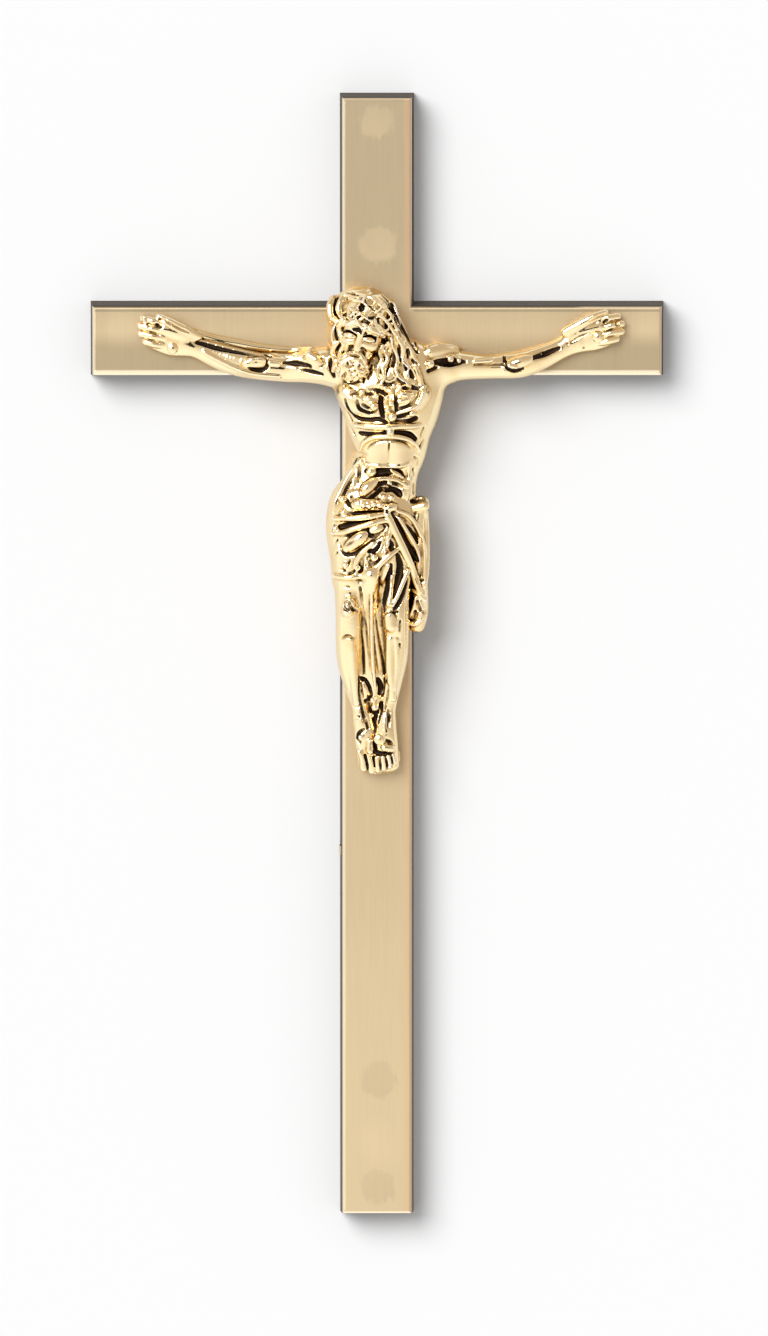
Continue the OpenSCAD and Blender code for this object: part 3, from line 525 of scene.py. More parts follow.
LEG_RELIEF = relief_rows(
    (-1, 0.1, 0, (-67,-530,30, -68,-541,38, -61,-547,40, -55,-541,36, -57,-531,34, -64,-528,30),
    (-55,-536,30, -49,-546,42, -40,-550,30)),
    (-1, 0.3, 0, (-68,-499,25, -58,-500,28), (-72,-607,30, -62,-602,38, -49,-605,30)),
    (-1, 0.12, 0, (48,-570,28, 47,-590,34)),
    (-1, 0.3, 0, (43,-605,24)),
    (-1, 0.12, 0, (47,-619,34, 47,-625,28)),
    (-1, 0.1, 0, (59,-526,16, 60,-588,20, 59,-646,16)),
    (-1, 0.3, 0, (12,-565,30, 21,-551,35, 35,-551,35, 41,-563,30), (-11,-563,30, -10,-576,35)),
    (-1, 0.2, 0, (-35,-501,35, -32,-522,35, -30,-536,22), (5,-501,30, 6,-526,25)),
    (1, 0.1, 0.45, (-11,-508,35, -11,-578,42, -9,-650,42, -4,-708,28)),
    (-1, 0.12, 0, (-29,-532,8, -24,-568,20, -20,-619,26, -16,-654,20, -14,-675,10), (-32,-584,8,
    -29,-619,24, -28,-654,30, -27,-683,30), (-5,-526,8, -2,-563,20, 4,-609,26, 11,-654,30, 14,-683,30),
    (-8,-572,8, -5,-613,20, 0,-654,24, 3,-679,14), (-36,-690,40, -36,-723,38, -31,-756,40, -25,-779,40),
    (-31,-692,45, -21,-700,50, -14,-716,40, -12,-729,35, -23,-739,42)),
    (1, 0.3, 0.5, (-28,-702,45, -24,-716,65, -24,-731,45)),
    (1, 0.3, 0.2, (-8,-737,65), (-4,-752,80), (-12,-770,60)),
    (-1, 0.12, 0, (2,-694,50, 8,-708,60, 6,-723,50), (15,-692,30, 13,-712,35, 10,-729,30)),
    (-1, 0.15, 0, (9,-743,40, 7,-764,50, 2,-783,40)),
    (-1, 0.12, 0, (23,-706,28, 20,-733,32, 15,-758,30), (23,-758,32, 25,-774,42, 23,-791,32)),
    (-1, 0.3, 0, (-23,-779,40, -19,-795,40), (-47,-752,25, -39,-752,25), (-47,-774,25, -37,-772,30)),
    (1, 0.3, -0.2, (39,-609,40, 41,-661,40, 37,-712,35)))
FOOT_RELIEF = relief_rows(
    (-1, 0.12, 0, (-27,-798,35, -37,-805,42, -42,-817,42, -35,-825,35)),
    (1, 0.3, 0, (-33,-815,55)),
    (1, 0.3, 0.2, (-14,-823,60, -14,-842,75), (16,-834,80, 29,-836,80)),
    (-1, 0.12, 0, (-8,-825,35, -6,-842,55, 6,-848,60, 23,-849,50, 33,-844,30)),
    (-1, 0.3, 0, (14,-819,35, 25,-822,40, 33,-829,30)),
    (1, 0.3, -0.1, (-35,-844,60, -29,-860,70, -27,-879,80), (-16,-854,60, -12,-871,70, -11,-885,70)),
    (1, 0.3, 0, (0,-858,50, 2,-873,60, 2,-883,60), (12,-856,50, 14,-871,55, 14,-879,55), (23,-854,50,
    26,-867,50, 26,-875,50), (33,-852,45, 36,-865,45)),
    (-1, 0.12, 0, (-25,-852,30, -20,-871,35, -19,-889,30), (-6,-856,30, -4,-875,33, -4,-889,30), (7,-856,28,
    8,-871,32, 8,-885,28), (19,-856,28, 21,-869,30, 21,-881,28), (29,-854,25, 31,-865,28, 31,-875,25)),
    (-1, 0.3, 0, (-41,-865,22, -33,-871,28)))
HAND_RELIEF = relief_rows(
    (-1, 0.1, 0, (-485,41,22, -467,35,30, -444,28,20), (-487,24,22, -467,20,28, -446,13,20), (-483,8,22,
    -465,3,28, -444,-5,20), (-451,34,42, -444,30,36), (-467,33,34), (-461,52,20, -440,45,30, -413,32,30,
    -385,19,20)),
    (1, 0.1, 0.3, (-477,49,40, -475,39,40)),
    (-1, 0.1, 0, (500,28,22, 481,25,28, 461,18,20), (500,45,22, 483,42,28, 461,34,20), (496,12,22, 477,9,28,
    459,1,20), (466,40,42, 471,44,40), (491,43,30, 492,34,36, 497,32,30), (399,1,22, 418,11,34, 438,19,20),
    (424,-13,28), (390,-4,28), (436,42,20, 455,51,28, 471,58,20)))
LOCK_RELIEF = relief_rows(
    (1, 0.3, 0.1, (-72,107,50, -86,94,80, -95,76,90, -93,57,80, -80,45,60)),
    (1, 0.3, 0.2, (-64,101,50, -74,86,70, -78,70,70, -70,53,50)),
    (-1, 0.3, 0, (-78,99,25, -85,80,35, -83,61,30), (-66,61,50)),
    (1, 0.3, 0.1, (-68,53,60, -76,39,80, -74,20,70), (-82,39,50, -90,20,60, -88,1,50)),
    (-1, 0.3, 0, (-80,45,25, -83,28,35, -80,8,30)),
    (1, 0.3, 0.1, (-80,3,50, -90,-15,65, -84,-36,65, -90,-57,50), (-68,-1,40, -76,-23,55, -70,-46,55,
    -74,-67,40)),
    (-1, 0.3, 0, (-76,-3,25, -82,-26,32, -76,-48,32), (-95,-32,35, -95,-48,50, -88,-69,40), (-70,-55,30,
    -67,-71,40)),
    (1, 0.3, 0.1, (-68,109,40, -45,105,50, -23,107,50, -6,111,40), (-62,99,40, -41,94,50, -16,97,50,
    6,99,40)),
    (-1, 0.3, 0, (-66,104,20, -43,100,28, -19,102,28, -2,105,20)),
    (1, 0.3, 0.1, (4,111,60, 19,99,70, 31,78,70, 39,55,70, 45,32,60)),
    (-1, 0.3, 0, (8,97,25, 23,80,35, 31,57,35)),
    (-1, 0.15, 0, (12,99,30, 25,84,42, 37,65,50, 47,45,50, 58,24,50, 70,1,42, 82,-19,28)),
    (-1, 0.12, 0, (25,74,22, 36,53,34, 45,30,34, 49,14,24), (33,82,20, 47,57,30, 60,32,32, 74,5,28,
    84,-13,20)),
    (1, 0.15, 1.2, (12,-3,35, 6,-17,45, 10,-34,45, 2,-50,45, 4,-69,35)),
    (1, 0.15, 1.3, (23,3,40, 16,-13,50, 22,-32,50, 12,-48,50, 15,-65,45, 8,-81,35)),
    (1, 0.3, 0.1, (43,12,50, 53,-7,65, 51,-26,50), (58,1,50, 70,-17,65, 78,-36,50), (35,-7,50, 43,-28,60,
    39,-50,50), (53,-34,50, 64,-50,65, 62,-69,50), (29,-1,40, 25,-26,55, 16,-52,55, 8,-77,40), (39,-57,50,
    49,-71,60, 68,-88,40), (78,-44,50, 86,-65,60, 93,-86,40)),
    (-1, 0.3, 0, (47,-1,28, 45,-17,35, 49,-34,30), (64,-11,30, 64,-28,30), (35,-28,40, 32,-44,40),
    (58,-42,40, 66,-57,55, 74,-69,40), (72,-34,30, 81,-43,35), (43,-73,40, 56,-81,35), (28,-13,25,
    25,-40,30, 15,-65,28)))
CROWN_GAPS = relief_rows(
    (-1, 0.1, 0, (-35,84,40, -31,76,60), (-45,96,28, -31,95,38, -16,84,42, -6,73,35), (-16,56,42, -4,58,45),
    (3,53,45, 4,45,45), (-47,33,42, -37,31,50, -23,23,42)),
    (-1, 0.12, 0, (15,93,20, 27,77,40, 37,56,50, 47,36,50, 60,15,46, 72,-6,40, 84,-22,20)))
CROWN_UNDER = relief_rows(
    (1, 0.1, 0.2, (31,93,40, 14,70,42, -6,47,42, -31,31,36), (10,103,40, -6,80,42, -25,60,42, -45,45,36),
    (41,62,40, 29,39,42, 12,20,36), (-14,105,40, -29,86,42, -43,70,42, -53,60,36)))
CROWN_OVER = relief_rows(
    (1, 0.08, 0.5, (-56,93,36, -31,89,42, -6,72,44, 19,47,44, 37,20,36), (-56,74,36, -35,66,42, -12,51,44,
    12,31,42, 33,12,36), (-41,103,36, -14,97,42, 10,80,44, 31,55,42, 41,29,36)),
    (1, 0.08, 0.6, (-58,58,42, -43,45,45, -23,41,45, -6,29,45, 16,24,45, 29,12,45, 41,8,40)),
    (1, 0.08, 0.3, (-58,43,42, -41,49,45, -25,33,45, -4,35,45, 14,16,45, 31,20,45, 41,0,40)))
CROWN_THORNS = relief_rows(
    (1, 0.08, 1.2, (-39,47,34, -45,58,24, -49,68,10), (-14,35,34, -8,45,24, -4,58,10), (10,22,34, 21,31,24,
    29,41,10), (-25,35,34, -29,24,24, -31,14,10), (4,24,34, 0,12,24, 0,2,10), (29,12,34, 31,0,24,
    29,-11,10), (-2,68,34, 8,76,24, 14,86,10), (-29,89,34, -25,99,24, -16,107,10), (19,47,34, 29,53,24,
    39,58,10), (-35,66,34, -43,60,24, -51,53,10)))
# Lengths are in whole shares from here on. Forms of the head in its own frame: sign, seam, whether
# both sides have it, rings of across, out, up and a radius, or a half width and a half depth
HEAD_FORMS = (
    (1, 0.5, False, ((0, -0.6, 5.7, 2.2, 2.4), (0, -0.4, 4.3, 4.2, 4.6), (0, -0.2, 2.4, 4.9, 5.3),
     (0, 0, 0, 4.7, 5.1), (0, 0.4, -3, 4, 4.5), (0, 1, -5.6, 2.9, 3.6), (0, 1.9, -7.4, 1.5, 2))),
    (1, 0.6, False, ((-3.9, 3.3, 1.9, 0.8), (-1.9, 4.6, 2.2, 0.85), (0, 4.9, 2, 0.7),
     (1.9, 4.6, 2.2, 0.85), (3.9, 3.3, 1.9, 0.8))),
    (1, 0.6, True, ((1.6, 4, -1.2, 1.2), (2.9, 3.1, -1.5, 1.2))),
    (1, 0.5, False, ((0, 4.4, -5, 2.9, 1.6), (0, 4, -6.6, 3.4, 1.8), (0, 3.4, -8.2, 2.8, 1.5),
     (0, 2.9, -9.4, 1.5, 1))))
# Relief of the face, from the root of the nose: sign, seam, lift, whether both sides have it, points
# of across, up, radius
FACE_RELIEF = (
    (-1, 0.5, -0.05, True, ((0.95, 0.15, 0.6), (2, 0.3, 0.85), (3.1, 0, 0.55))),
    (1, 0.25, -0.15, True, ((1.2, -0.1, 0.5), (2, -0.05, 0.72), (2.8, -0.15, 0.5))),
    (-1, 0.1, 0.1, True, ((1.1, -0.45, 0.16), (2, -0.68, 0.2), (2.9, -0.4, 0.16))),
    (1, 0.3, -0.2, True, ((0.8, 1, 0.4), (1.9, 1.55, 0.45), (3.1, 1.2, 0.35))),
    (1, 0.35, 0.05, False, ((0, 1, 0.45), (0, -0.6, 0.55), (0, -2, 0.75), (0, -2.5, 0.7))),
    (1, 0.2, -0.1, True, ((0.72, -2.4, 0.45),)),
    (-1, 0.12, 0.2, True, ((0.45, -2.95, 0.22),)),
    (-1, 0.4, 0.35, True, ((1.1, -2.2, 0.35), (1.9, -3.4, 0.5), (2.3, -4.4, 0.4))),
    (1, 0.15, -0.1, True, ((0.15, -3.3, 0.36), (1.1, -3.6, 0.46), (2, -4.5, 0.42), (2.4, -5.5, 0.3))),
    (-1, 0.12, 0, False, ((-1, -4, 0.2), (0, -3.9, 0.3), (1, -4, 0.2))),
    (1, 0.12, -0.2, False, ((-0.7, -4.5, 0.3), (0, -4.6, 0.4), (0.7, -4.5, 0.3))))
# Rows of the beard's curls: height under the root of the nose, half width and count
BEARD_ROWS = ((-5.3, 3.1, 6), (-6.4, 3.3, 7), (-7.4, 3.0, 6), (-8.4, 2.2, 5))
# Toes: the first and last tip of each foot's row, and the rings behind a tip
TOE_ROWS = (((-3.2, 1.4, -87.2), (-0.2, 1.7, -88.7)), ((0.4, 2.4, -88.6), (4, 1.8, -87.2)))
TOE_RINGS = ((0, 0.3, 2.6, 0.7, 0.7), (0, 0.25, 0.9, 0.85, 0.8), (0, 0, 0, 0.75, 0.7))
# Hands: finger roots, finger tips, then the thumb's and the palm's rings with a radius
HANDS = (
    (((-43.9, 1.5, 3.7), (-43.5, 1.6, 2.2), (-43.5, 1.6, 0.7), (-43.8, 1.5, -0.8)),
     ((-48, 1.4, 4.6), (-48.5, 1.5, 3.1), (-48.4, 1.5, 1.5), (-47.5, 1.4, -0.1)),
     ((-36.6, 1.6, 1, 0.9), (-39.7, 2, 2.6, 1), (-42.3, 2, 3.9, 0.95), (-44.6, 1.8, 4.9, 0.8)),
     ((-43.6, 1.2, 2.6, 1.5), (-40.6, 1.2, 1.6, 1.6), (-38, 1.2, 0.6, 1.3))),
    (((45.4, 1.5, 4.3), (45.9, 1.6, 2.8), (45.9, 1.6, 1.3), (45.3, 1.5, -0.2)),
     ((49.4, 1.4, 5.1), (50.2, 1.5, 3.6), (50.2, 1.5, 2), (49.2, 1.4, 0.5)),
     ((38.6, 1.6, 1.9, 0.9), (41.5, 2, 3.5, 1), (44.4, 2, 5, 0.9), (46.8, 1.8, 5.9, 0.7)),
     ((45.4, 1.2, 3, 1.5), (42.6, 1.2, 2.2, 1.6), (40, 1.2, 1.2, 1.3))))
# Nails: across, up and how far out the head is seated
SEATS = ((-41.9, -1.4, 2.27), (45.3, 0.9, 2.27), (0.6, -81.7, 5.57))
# The clay's corners
CLAY_LOW, CLAY_HIGH = (-50.6, -1.2, -91), (52.2, 15.4, 13)
# The head's frame: its middle, its lean in the plane of the face, its turn and its bow
HEAD_MIDDLE = (-3.0, 6.3, 2.4)
HEAD_LEAN, HEAD_TURN, HEAD_BOW = (math.radians(angle) for angle in (12, 8, 12))
FACE_MIDDLE = (-3.6, 1.6)
SIDES = {True: (-1, 1), False: (1,)}


# ---------------------------------------------------------------- modelling the figure

def head_turn():
    """The matrix that stands the head's own frame in the figure's."""
    turn = np.eye(3)
    for first, second, angle in ((0, 2, HEAD_LEAN), (1, 2, HEAD_BOW), (1, 0, HEAD_TURN)):
        step = np.eye(3)
        step[first, first] = step[second, second] = math.cos(angle)
        step[first, second], step[second, first] = math.sin(angle), -math.sin(angle)
        turn = turn @ step
    return turn


def on_face(across, up, r):
    """A point given from the root of the nose, on the front of the figure."""
    c, s = math.cos(HEAD_LEAN), math.sin(HEAD_LEAN)
    return FACE_MIDDLE[0] + across * c + up * s, FACE_MIDDLE[1] - across * s + up * c, r


def beard_curls():
    """Rows of small curls over the beard, with a groove beside each."""
    rows = []
    for up, half, count in BEARD_ROWS:
        for i in range(count):
            across = half * (2 * i / (count - 1) - 1)
            side = 0.3 * (-1) ** i
            curl = ((across - 0.45, up + side, 0.25), (across, up - 0.35, 0.4),
                    (across + 0.45, up - side, 0.25))
            groove = ((across + 0.7, up, 0.2), (across + 0.6, up - 0.8, 0.26))
            rows.append((1, 0.1, 0, [on_face(*p) for p in curl]))
            rows.append((-1, 0.1, 0.2, [on_face(*p) for p in groove]))
    return rows


def model_hands_and_feet(clay):
    for first, last in np.array(TOE_ROWS):
        for i in range(4):
            tip = first + (last - first) * i / 3
            clay.limb([list(tip + ring[:3]) + list(ring[3:]) for ring in TOE_RINGS], 0.2, steps=2)
    for roots, tips, thumb, palm in HANDS:
        for root, tip in zip(np.array(roots), np.array(tips)):
            knuckle = (root + tip) / 2 + (0, 0.35, 0)
            clay.limb([list(root) + [0.8, 0.8], list(knuckle) + [0.85, 0.8], list(tip) + [0.75, 0.7]],
                      0.15, steps=3)
        for rings, soft in ((thumb, 0.15), (palm, 0.5)):
            clay.limb([ring + ring[3:] for ring in rings], soft, steps=3)


def model_head(clay):
    turn = head_turn()
    for sign, soft, both, rows in HEAD_FORMS:
        for side in SIDES[both]:
            clay.limb([list(turn @ (side * r[0], r[1], r[2]) + HEAD_MIDDLE) + [r[3], r[-1]] for r in rows],
                      soft, sign, 3)
    for soft, steps, rings in HAIR:
        clay.limb(rings, soft, steps=steps)
    clay.relief([(sign, soft, lift, [on_face(side * across, up, r) for across, up, r in line])
                 for sign, soft, lift, both, line in FACE_RELIEF for side in SIDES[both]])
    clay.relief(beard_curls())
    for group in (LOCK_RELIEF, CROWN_UNDER, CROWN_OVER, CROWN_GAPS, CROWN_THORNS):
        clay.relief(group)


def model_figure(step):
    """The whole figure as clay, flat at the back, with a seat for each nail."""
    clay = Clay(CLAY_LOW, CLAY_HIGH, step)
    for limbs, groups in ((BODY, (CHEST_FORMS, CHEST_RELIEF, ARM_FORMS, ARM_RELIEF)),
                          (CLOTH, (CLOTH_FORMS, CLOTH_RELIEF, LEG_FORMS, LEG_RELIEF))):
        for soft, steps, rings in limbs:
            clay.limb(rings, soft, steps=steps)
        for group in groups:
            clay.relief(group)
    model_hands_and_feet(clay)
    clay.relief(FOOT_RELIEF)
    clay.relief(HAND_RELIEF)
    model_head(clay)
    for x, z, seat in SEATS:
        cut, at = clay.span((x - 2, seat, z - 2), (x + 2, CLAY_HIGH[1], z + 2))
        well = np.sqrt((at[0] - x) ** 2 + (at[2] - z) ** 2) - NAIL_SEAT_R / SHARE
        clay.melt(cut, np.maximum(well, seat - at[1]), 0.05, -1)
    out = (clay.low[1] + clay.step * np.arange(clay.count[1])).astype(np.float32)
    clay.field = np.maximum(clay.field, -out[None, :, None])
    return clay


# ---------------------------------------------------------------- meshes

def largest_shell(points, quads):
    """The points and quads of the largest closed shell, without loose crumbs or inner pockets."""
    label = np.arange(len(points))
    while True:
        least = label[quads].min(axis=1)
        new = label.copy()
        np.minimum.at(new, quads.ravel(), np.repeat(least, 4))
        new = new[new]
        if (new == label).all():
            break
        label = new
    keep = label[quads[:, 0]] == np.bincount(label[quads[:, 0]]).argmax()
    used, quads = np.unique(quads[keep], return_inverse=True)
    return points[used], quads.reshape(-1, 4)


def eased(points, quads):
    """Moves each point half way to the middle of its neighbours."""
    pairs = np.concatenate([quads[:, [i, (i + 1) % 4]] for i in range(4)])
    pairs = np.concatenate([pairs, pairs[:, ::-1]])
    n = len(points)
    weight = np.bincount(pairs[:, 0], minlength=n)[:, None]
    total = np.stack([np.bincount(pairs[:, 0], points[pairs[:, 1], i], minlength=n) for i in range(3)], 1)
    return points + 0.5 * (total / weight - points)


def sampled(block, low, step, points):
    """The block's values at points, between its voxels."""
    at = np.clip((points - low) / step, 0, np.array(block.shape) - 1.001)
    i = at.astype(int)
    f = at - i
    value = 0
    for corner in range(8):
        o = np.array([corner & 1, corner >> 1 & 1, corner >> 2])
        value = value + np.prod(np.where(o, f, 1 - f), axis=1) * block[tuple((i + o).T)]
    return value


def quad_mesh(name, points, quads, **values):
    """A smooth-shaded mesh from arrays of points and quads, its faces turned outwards, that stores
    a value between 0 and 1 for each point under each of the names given."""
    a, b, c, d = (points[quads[:, i]] for i in range(4))
    volume = (np.cross(b - a, c - a) * a).sum() + (np.cross(c - a, d - a) * a).sum()
    if volume < 0:
        quads = quads[:, ::-1]
    mesh = bpy.data.meshes.new(name)
    mesh.vertices.add(len(points))
    mesh.vertices.foreach_set("co", points.astype(np.float32).ravel())
    mesh.loops.add(quads.size)
    mesh.loops.foreach_set("vertex_index", quads.astype(np.int32).ravel())
    mesh.polygons.add(len(quads))
    mesh.polygons.foreach_set("loop_start", np.arange(0, quads.size, 4, dtype=np.int32))
    mesh.polygons.foreach_set("use_smooth", np.ones(len(quads), bool))
    mesh.update(calc_edges=True)
    for key, value in values.items():
        stored = mesh.attributes.new(key, "FLOAT", "POINT").data
        stored.foreach_set("value", np.clip(value, 0, 1).astype(np.float32))
    return mesh


# ---------------------------------------------------------------- materials

def operators(operation):
    """A Python operator that adds a Math node, and its reflected form."""
    return (lambda self, other: self.math(operation, self, other),
            lambda self, other: self.math(operation, other, self))


class Wire:
    """A socket's value in an expression, which adds its Math nodes."""

    def __init__(self, shade, socket):
        self.shade, self.socket = shade, socket

    def math(self, operation, *values, clamp=False):
        return self.shade.node("ShaderNodeMath", {"operation": operation, "use_clamp": clamp},
                               dict(enumerate(values)))

    __add__, __radd__ = operators("ADD")
    __sub__, __rsub__ = operators("SUBTRACT")
    __mul__, __rmul__ = operators("MULTIPLY")
    __truediv__, __rtruediv__ = operators("DIVIDE")
    __pow__, __rpow__ = operators("POWER")

    def __neg__(self):
        return self * -1.0

    def __abs__(self):
        return self.math("ABSOLUTE", self)

    def clamped(self):
        return self.math("ADD", self, 0.0, clamp=True)

    def most(self, other):
        return self.math("MAXIMUM", self, other)

    def rise(self, low, high):
        """0 below low, 1 above high, a soft step between."""
        return self.shade.node("ShaderNodeMapRange", {"interpolation_type": "SMOOTHSTEP"},
                               {"Value": self, "From Min": low, "From Max": high})

    def fall(self, low, high):
        """1 below low, 0 above high, a soft step between."""
        return 1 - self.rise(low, high)

    def about(self, middle, spread):
        """A noise turned into a tone that varies round a middle."""
        return (self - 0.5) * spread + middle


class Shade:
    """One material's node tree."""

    def __init__(self, name="", world=None):
        self.material = world or bpy.data.materials.new(name)
        self.material.use_nodes = True
        self.tree = self.material.node_tree
        self.tree.nodes.clear()

    def node(self, kind, settings=(), sockets=(), out=0):
        """Adds a node: its type, its settings, its sockets' values or links and the output wanted."""
        node = self.tree.nodes.new(kind)
        for key, value in dict(settings).items():
            setattr(node, key, value)
        for key, value in dict(sockets).items():
            if isinstance(value, Wire):
                self.tree.links.new(value.socket, node.inputs[key])
            elif node.inputs[key].type == "RGBA":
                node.inputs[key].default_value = tuple(value)[:3] + (1.0,)
            elif node.inputs[key].type == "VECTOR":
                node.inputs[key].default_value = tuple(value)
            else:
                node.inputs[key].default_value = value
        return Wire(self, node.outputs[out])

    def place(self, kind="Object"):
        return self.node("ShaderNodeTexCoord", out=kind)

    def stored(self, name):
        """A value stored in the mesh."""
        return self.node("ShaderNodeAttribute", {"attribute_name": name}, out="Fac")

    def parts(self, vector):
        split = self.node("ShaderNodeSeparateXYZ", (), {0: vector})
        return [Wire(self, socket) for socket in split.socket.node.outputs]

    def noise(self, scale, detail=2.0, rough=0.5):
        """A noise of one scale, or of one along each axis."""
        vector = self.place()
        if isinstance(scale, tuple):
            vector = self.node("ShaderNodeVectorMath", {"operation": "MULTIPLY"}, {0: vector, 1: scale})
            scale = 1.0
        return self.node("ShaderNodeTexNoise", (), {"Vector": vector, "Scale": scale, "Detail": detail,
                                                   "Roughness": rough})

    def mix(self, share, first, second):
        """A colour between two colours."""
        return self.node("ShaderNodeMix", {"data_type": "RGBA"}, {0: share, 6: first, 7: second}, 2)

    def toned(self, tint, tone):
        """A colour made lighter or darker by a value."""
        return self.node("ShaderNodeVectorMath", {"operation": "SCALE"}, {0: tint, "Scale": tone})

    def bump(self, height, distance, strength=1.0):
        return self.node("ShaderNodeBump", (), {"Height": height, "Distance": distance,
                                                "Strength": strength})

    def surface(self, **sockets):
        """Ends the tree with a Principled shader."""
        names = {key.replace("_", " ").title().replace("Ior", "IOR"): value
                 for key, value in sockets.items()}
        return self.finish(self.node("ShaderNodeBsdfPrincipled", (), names))

    def finish(self, shader):
        kind = "World" if isinstance(self.material, bpy.types.World) else "Material"
        end = self.tree.nodes.new("ShaderNodeOutput" + kind)
        self.tree.links.new(shader.socket, end.inputs["Surface"])
        return self.material


HALF = BAR_W / 2
# Faint round marks over the bosses: across, up, radius, how much lighter
BOSS_MARKS = ((-0.0002, 0.0397, 0.0033, 0.13), (0.0002, 0.0175, 0.0037, 0.14),
              (0.0002, -0.1346, 0.0037, -0.06), (0.0002, -0.1544, 0.0035, -0.065))
# Pale patches at the ends of the crossbar and near the foot: across, up, radius, how much lighter
PALE_PATCHES = ((-0.0465, 0.0021, 0.0048, 0.07), (0.0492, 0.0035, 0.005, 0.08),
                (0.0005, -0.1463, 0.006, 0.05))
# How far the edge of a round mark wanders, and how much longer than wide a line of the grain is
RAGGED, GRAIN_RUN = 3.2 * MM, 90
# Second colours: a warm band, a deeper painted shade on the walls, painted shade on the right-facing
# and upward rounded edges, steel under the lacquer, the bloom on the zinc and steel under the wash
WARM, DEEPER_WALL_SHADE = (0.80, 0.50, 0.27), (0.10, 0.08, 0.06)
RIGHT_EDGE_SHADE, UPWARD_EDGE_SHADE = (0.60, 0.42, 0.28), (0.42, 0.35, 0.25)
WORN, BLOOM, BARE = (0.34, 0.32, 0.29), (0.50, 0.49, 0.42), (0.58, 0.57, 0.54)
# How rough the cross is on its rounded edge and on its walls
BEVEL_ROUGH, WALL_ROUGH = 0.22, 0.6


def face_tone(shade, x, z, grain):
    """How light the satin face is: its grain and clouds, the round marks, the darker lower half of
    the crossbar and stretch below it, and a dark line under the upper edges."""
    cloud = shade.noise((55, 55, 22), 3, 0.55)
    wander = (shade.noise((900, 900, 450), 3, 0.6) - 0.5) * RAGGED
    arm = abs(x).rise(HALF, 3 * HALF)
    tone = grain.about(1, 0.14) + (cloud - 0.5) * 0.12
    for across, up, reach, lighter in BOSS_MARKS:
        far = ((x - across) ** 2 + (z - up) ** 2) ** 0.5 + wander
        low = 1 + (up - z).rise(-reach, reach) * 0.35
        tone = tone + far.fall(0.72 * reach, 1.05 * reach) * low * lighter
    for across, up, reach, lighter in PALE_PATCHES:
        far = ((x - across) ** 2 + (z - up) ** 2) ** 0.5
        tone = tone + far.fall(0.2 * reach, reach) * lighter
    tone = tone - z.fall(-1.8 * MM, 2.2 * MM) * z.rise(-1.2 * HALF, -HALF) * arm * 0.25 - arm * 0.03
    tone = tone - z.rise(-115 * MM, -95 * MM) * z.fall(-2 * HALF, -HALF) * 0.07
    for edge, along in ((HALF, abs(x).rise(HALF, 1.1 * HALF)), (CROSS_TOP, 1.0)):
        tone = tone - abs(z - (edge - 0.85 * MM)).fall(0.1 * MM, 0.35 * MM) * along * 0.3
    return tone


def satin_gold(finish):
    """Brushed satin gold on the face, a rounded edge with a painted highlight and painted shade,
    and side walls painted dark as shade.
    """
    shade = Shade("satin_gold_finish")
    x, y, z = shade.parts(shade.place())
    nx, ny, nz = shade.parts(shade.place("Normal"))
    front = (-ny).rise(0.93, 0.995)
    wall = (-ny - nz.rise(0.1, 0.4) * 0.45).rise(0.05, 0.35)
    per = 1 / finish.grain
    grain = shade.noise((per, per, per / GRAIN_RUN), 3, 0.65)

    upper = z.rise(-2 * MM, 14 * MM) * 0.85
    face = shade.toned(shade.mix(upper, finish.face, finish.upper), face_tone(shade, x, z, grain))
    # A band along the crossbar's lower edge takes the edge colour: a painted highlight
    lower_edge_highlight = z.fall(0.75 * MM - HALF, 1.1 * MM - HALF) * z.rise(-1.1 * HALF, -HALF)
    face = shade.mix(lower_edge_highlight * abs(x).rise(HALF, 1.1 * HALF), face, finish.bevel)
    beside = x.rise(4.6 * MM, 5.2 * MM) * x.fall(1.05 * HALF, 1.1 * HALF) * abs(z).rise(HALF, 1.3 * HALF)
    face = shade.mix(beside * 0.3, face, WARM)

    # The side walls are painted dark as shade, mottled with a deeper painted shade, darkest next to the
    # face and painted lighter low on the right, where they meet the cast shadow
    dark = shade.mix(shade.noise(900, 4, 0.6), finish.wall, DEEPER_WALL_SHADE)
    dark = shade.toned(dark, (y - FACE_Y).rise(0.5 * MM, 1.5 * MM) * 0.55 + 0.45)
    dark = shade.toned(dark, 1 + z.fall(-100 * MM, -20 * MM) * x.rise(0, MM) * 2.2)
    # The rounded edge keeps the painted highlight where it faces down. It gets painted shade where it faces
    # up (not at the right arm's end or on the upper arm), a little where it faces left and more where it
    # faces right
    upward_shade_mask = nz.rise(0.2, 0.6) * x.fall(35 * MM, 38 * MM) * z.fall(20 * MM, 30 * MM)
    left = shade.toned(finish.bevel, 1 - (-nx).rise(0.1, 0.5) * 0.2)
    edge = shade.mix(upward_shade_mask, shade.mix(nx.rise(0.1, 0.5) * 0.75, left, RIGHT_EDGE_SHADE), UPWARD_EDGE_SHADE)

    rough = (grain - 0.5) * 0.16 + (front * (finish.roughness - BEVEL_ROUGH) + BEVEL_ROUGH)
    rough = rough * wall + (1 - wall) * WALL_ROUGH
    return shade.surface(base_color=shade.mix(wall, dark, shade.mix(front, edge, face)),
                         metallic=wall * (front * -0.35 + 0.95), roughness=rough.clamped(),
                         specular_ior_level=0.15, normal=shade.bump(grain, 0.012 * MM))


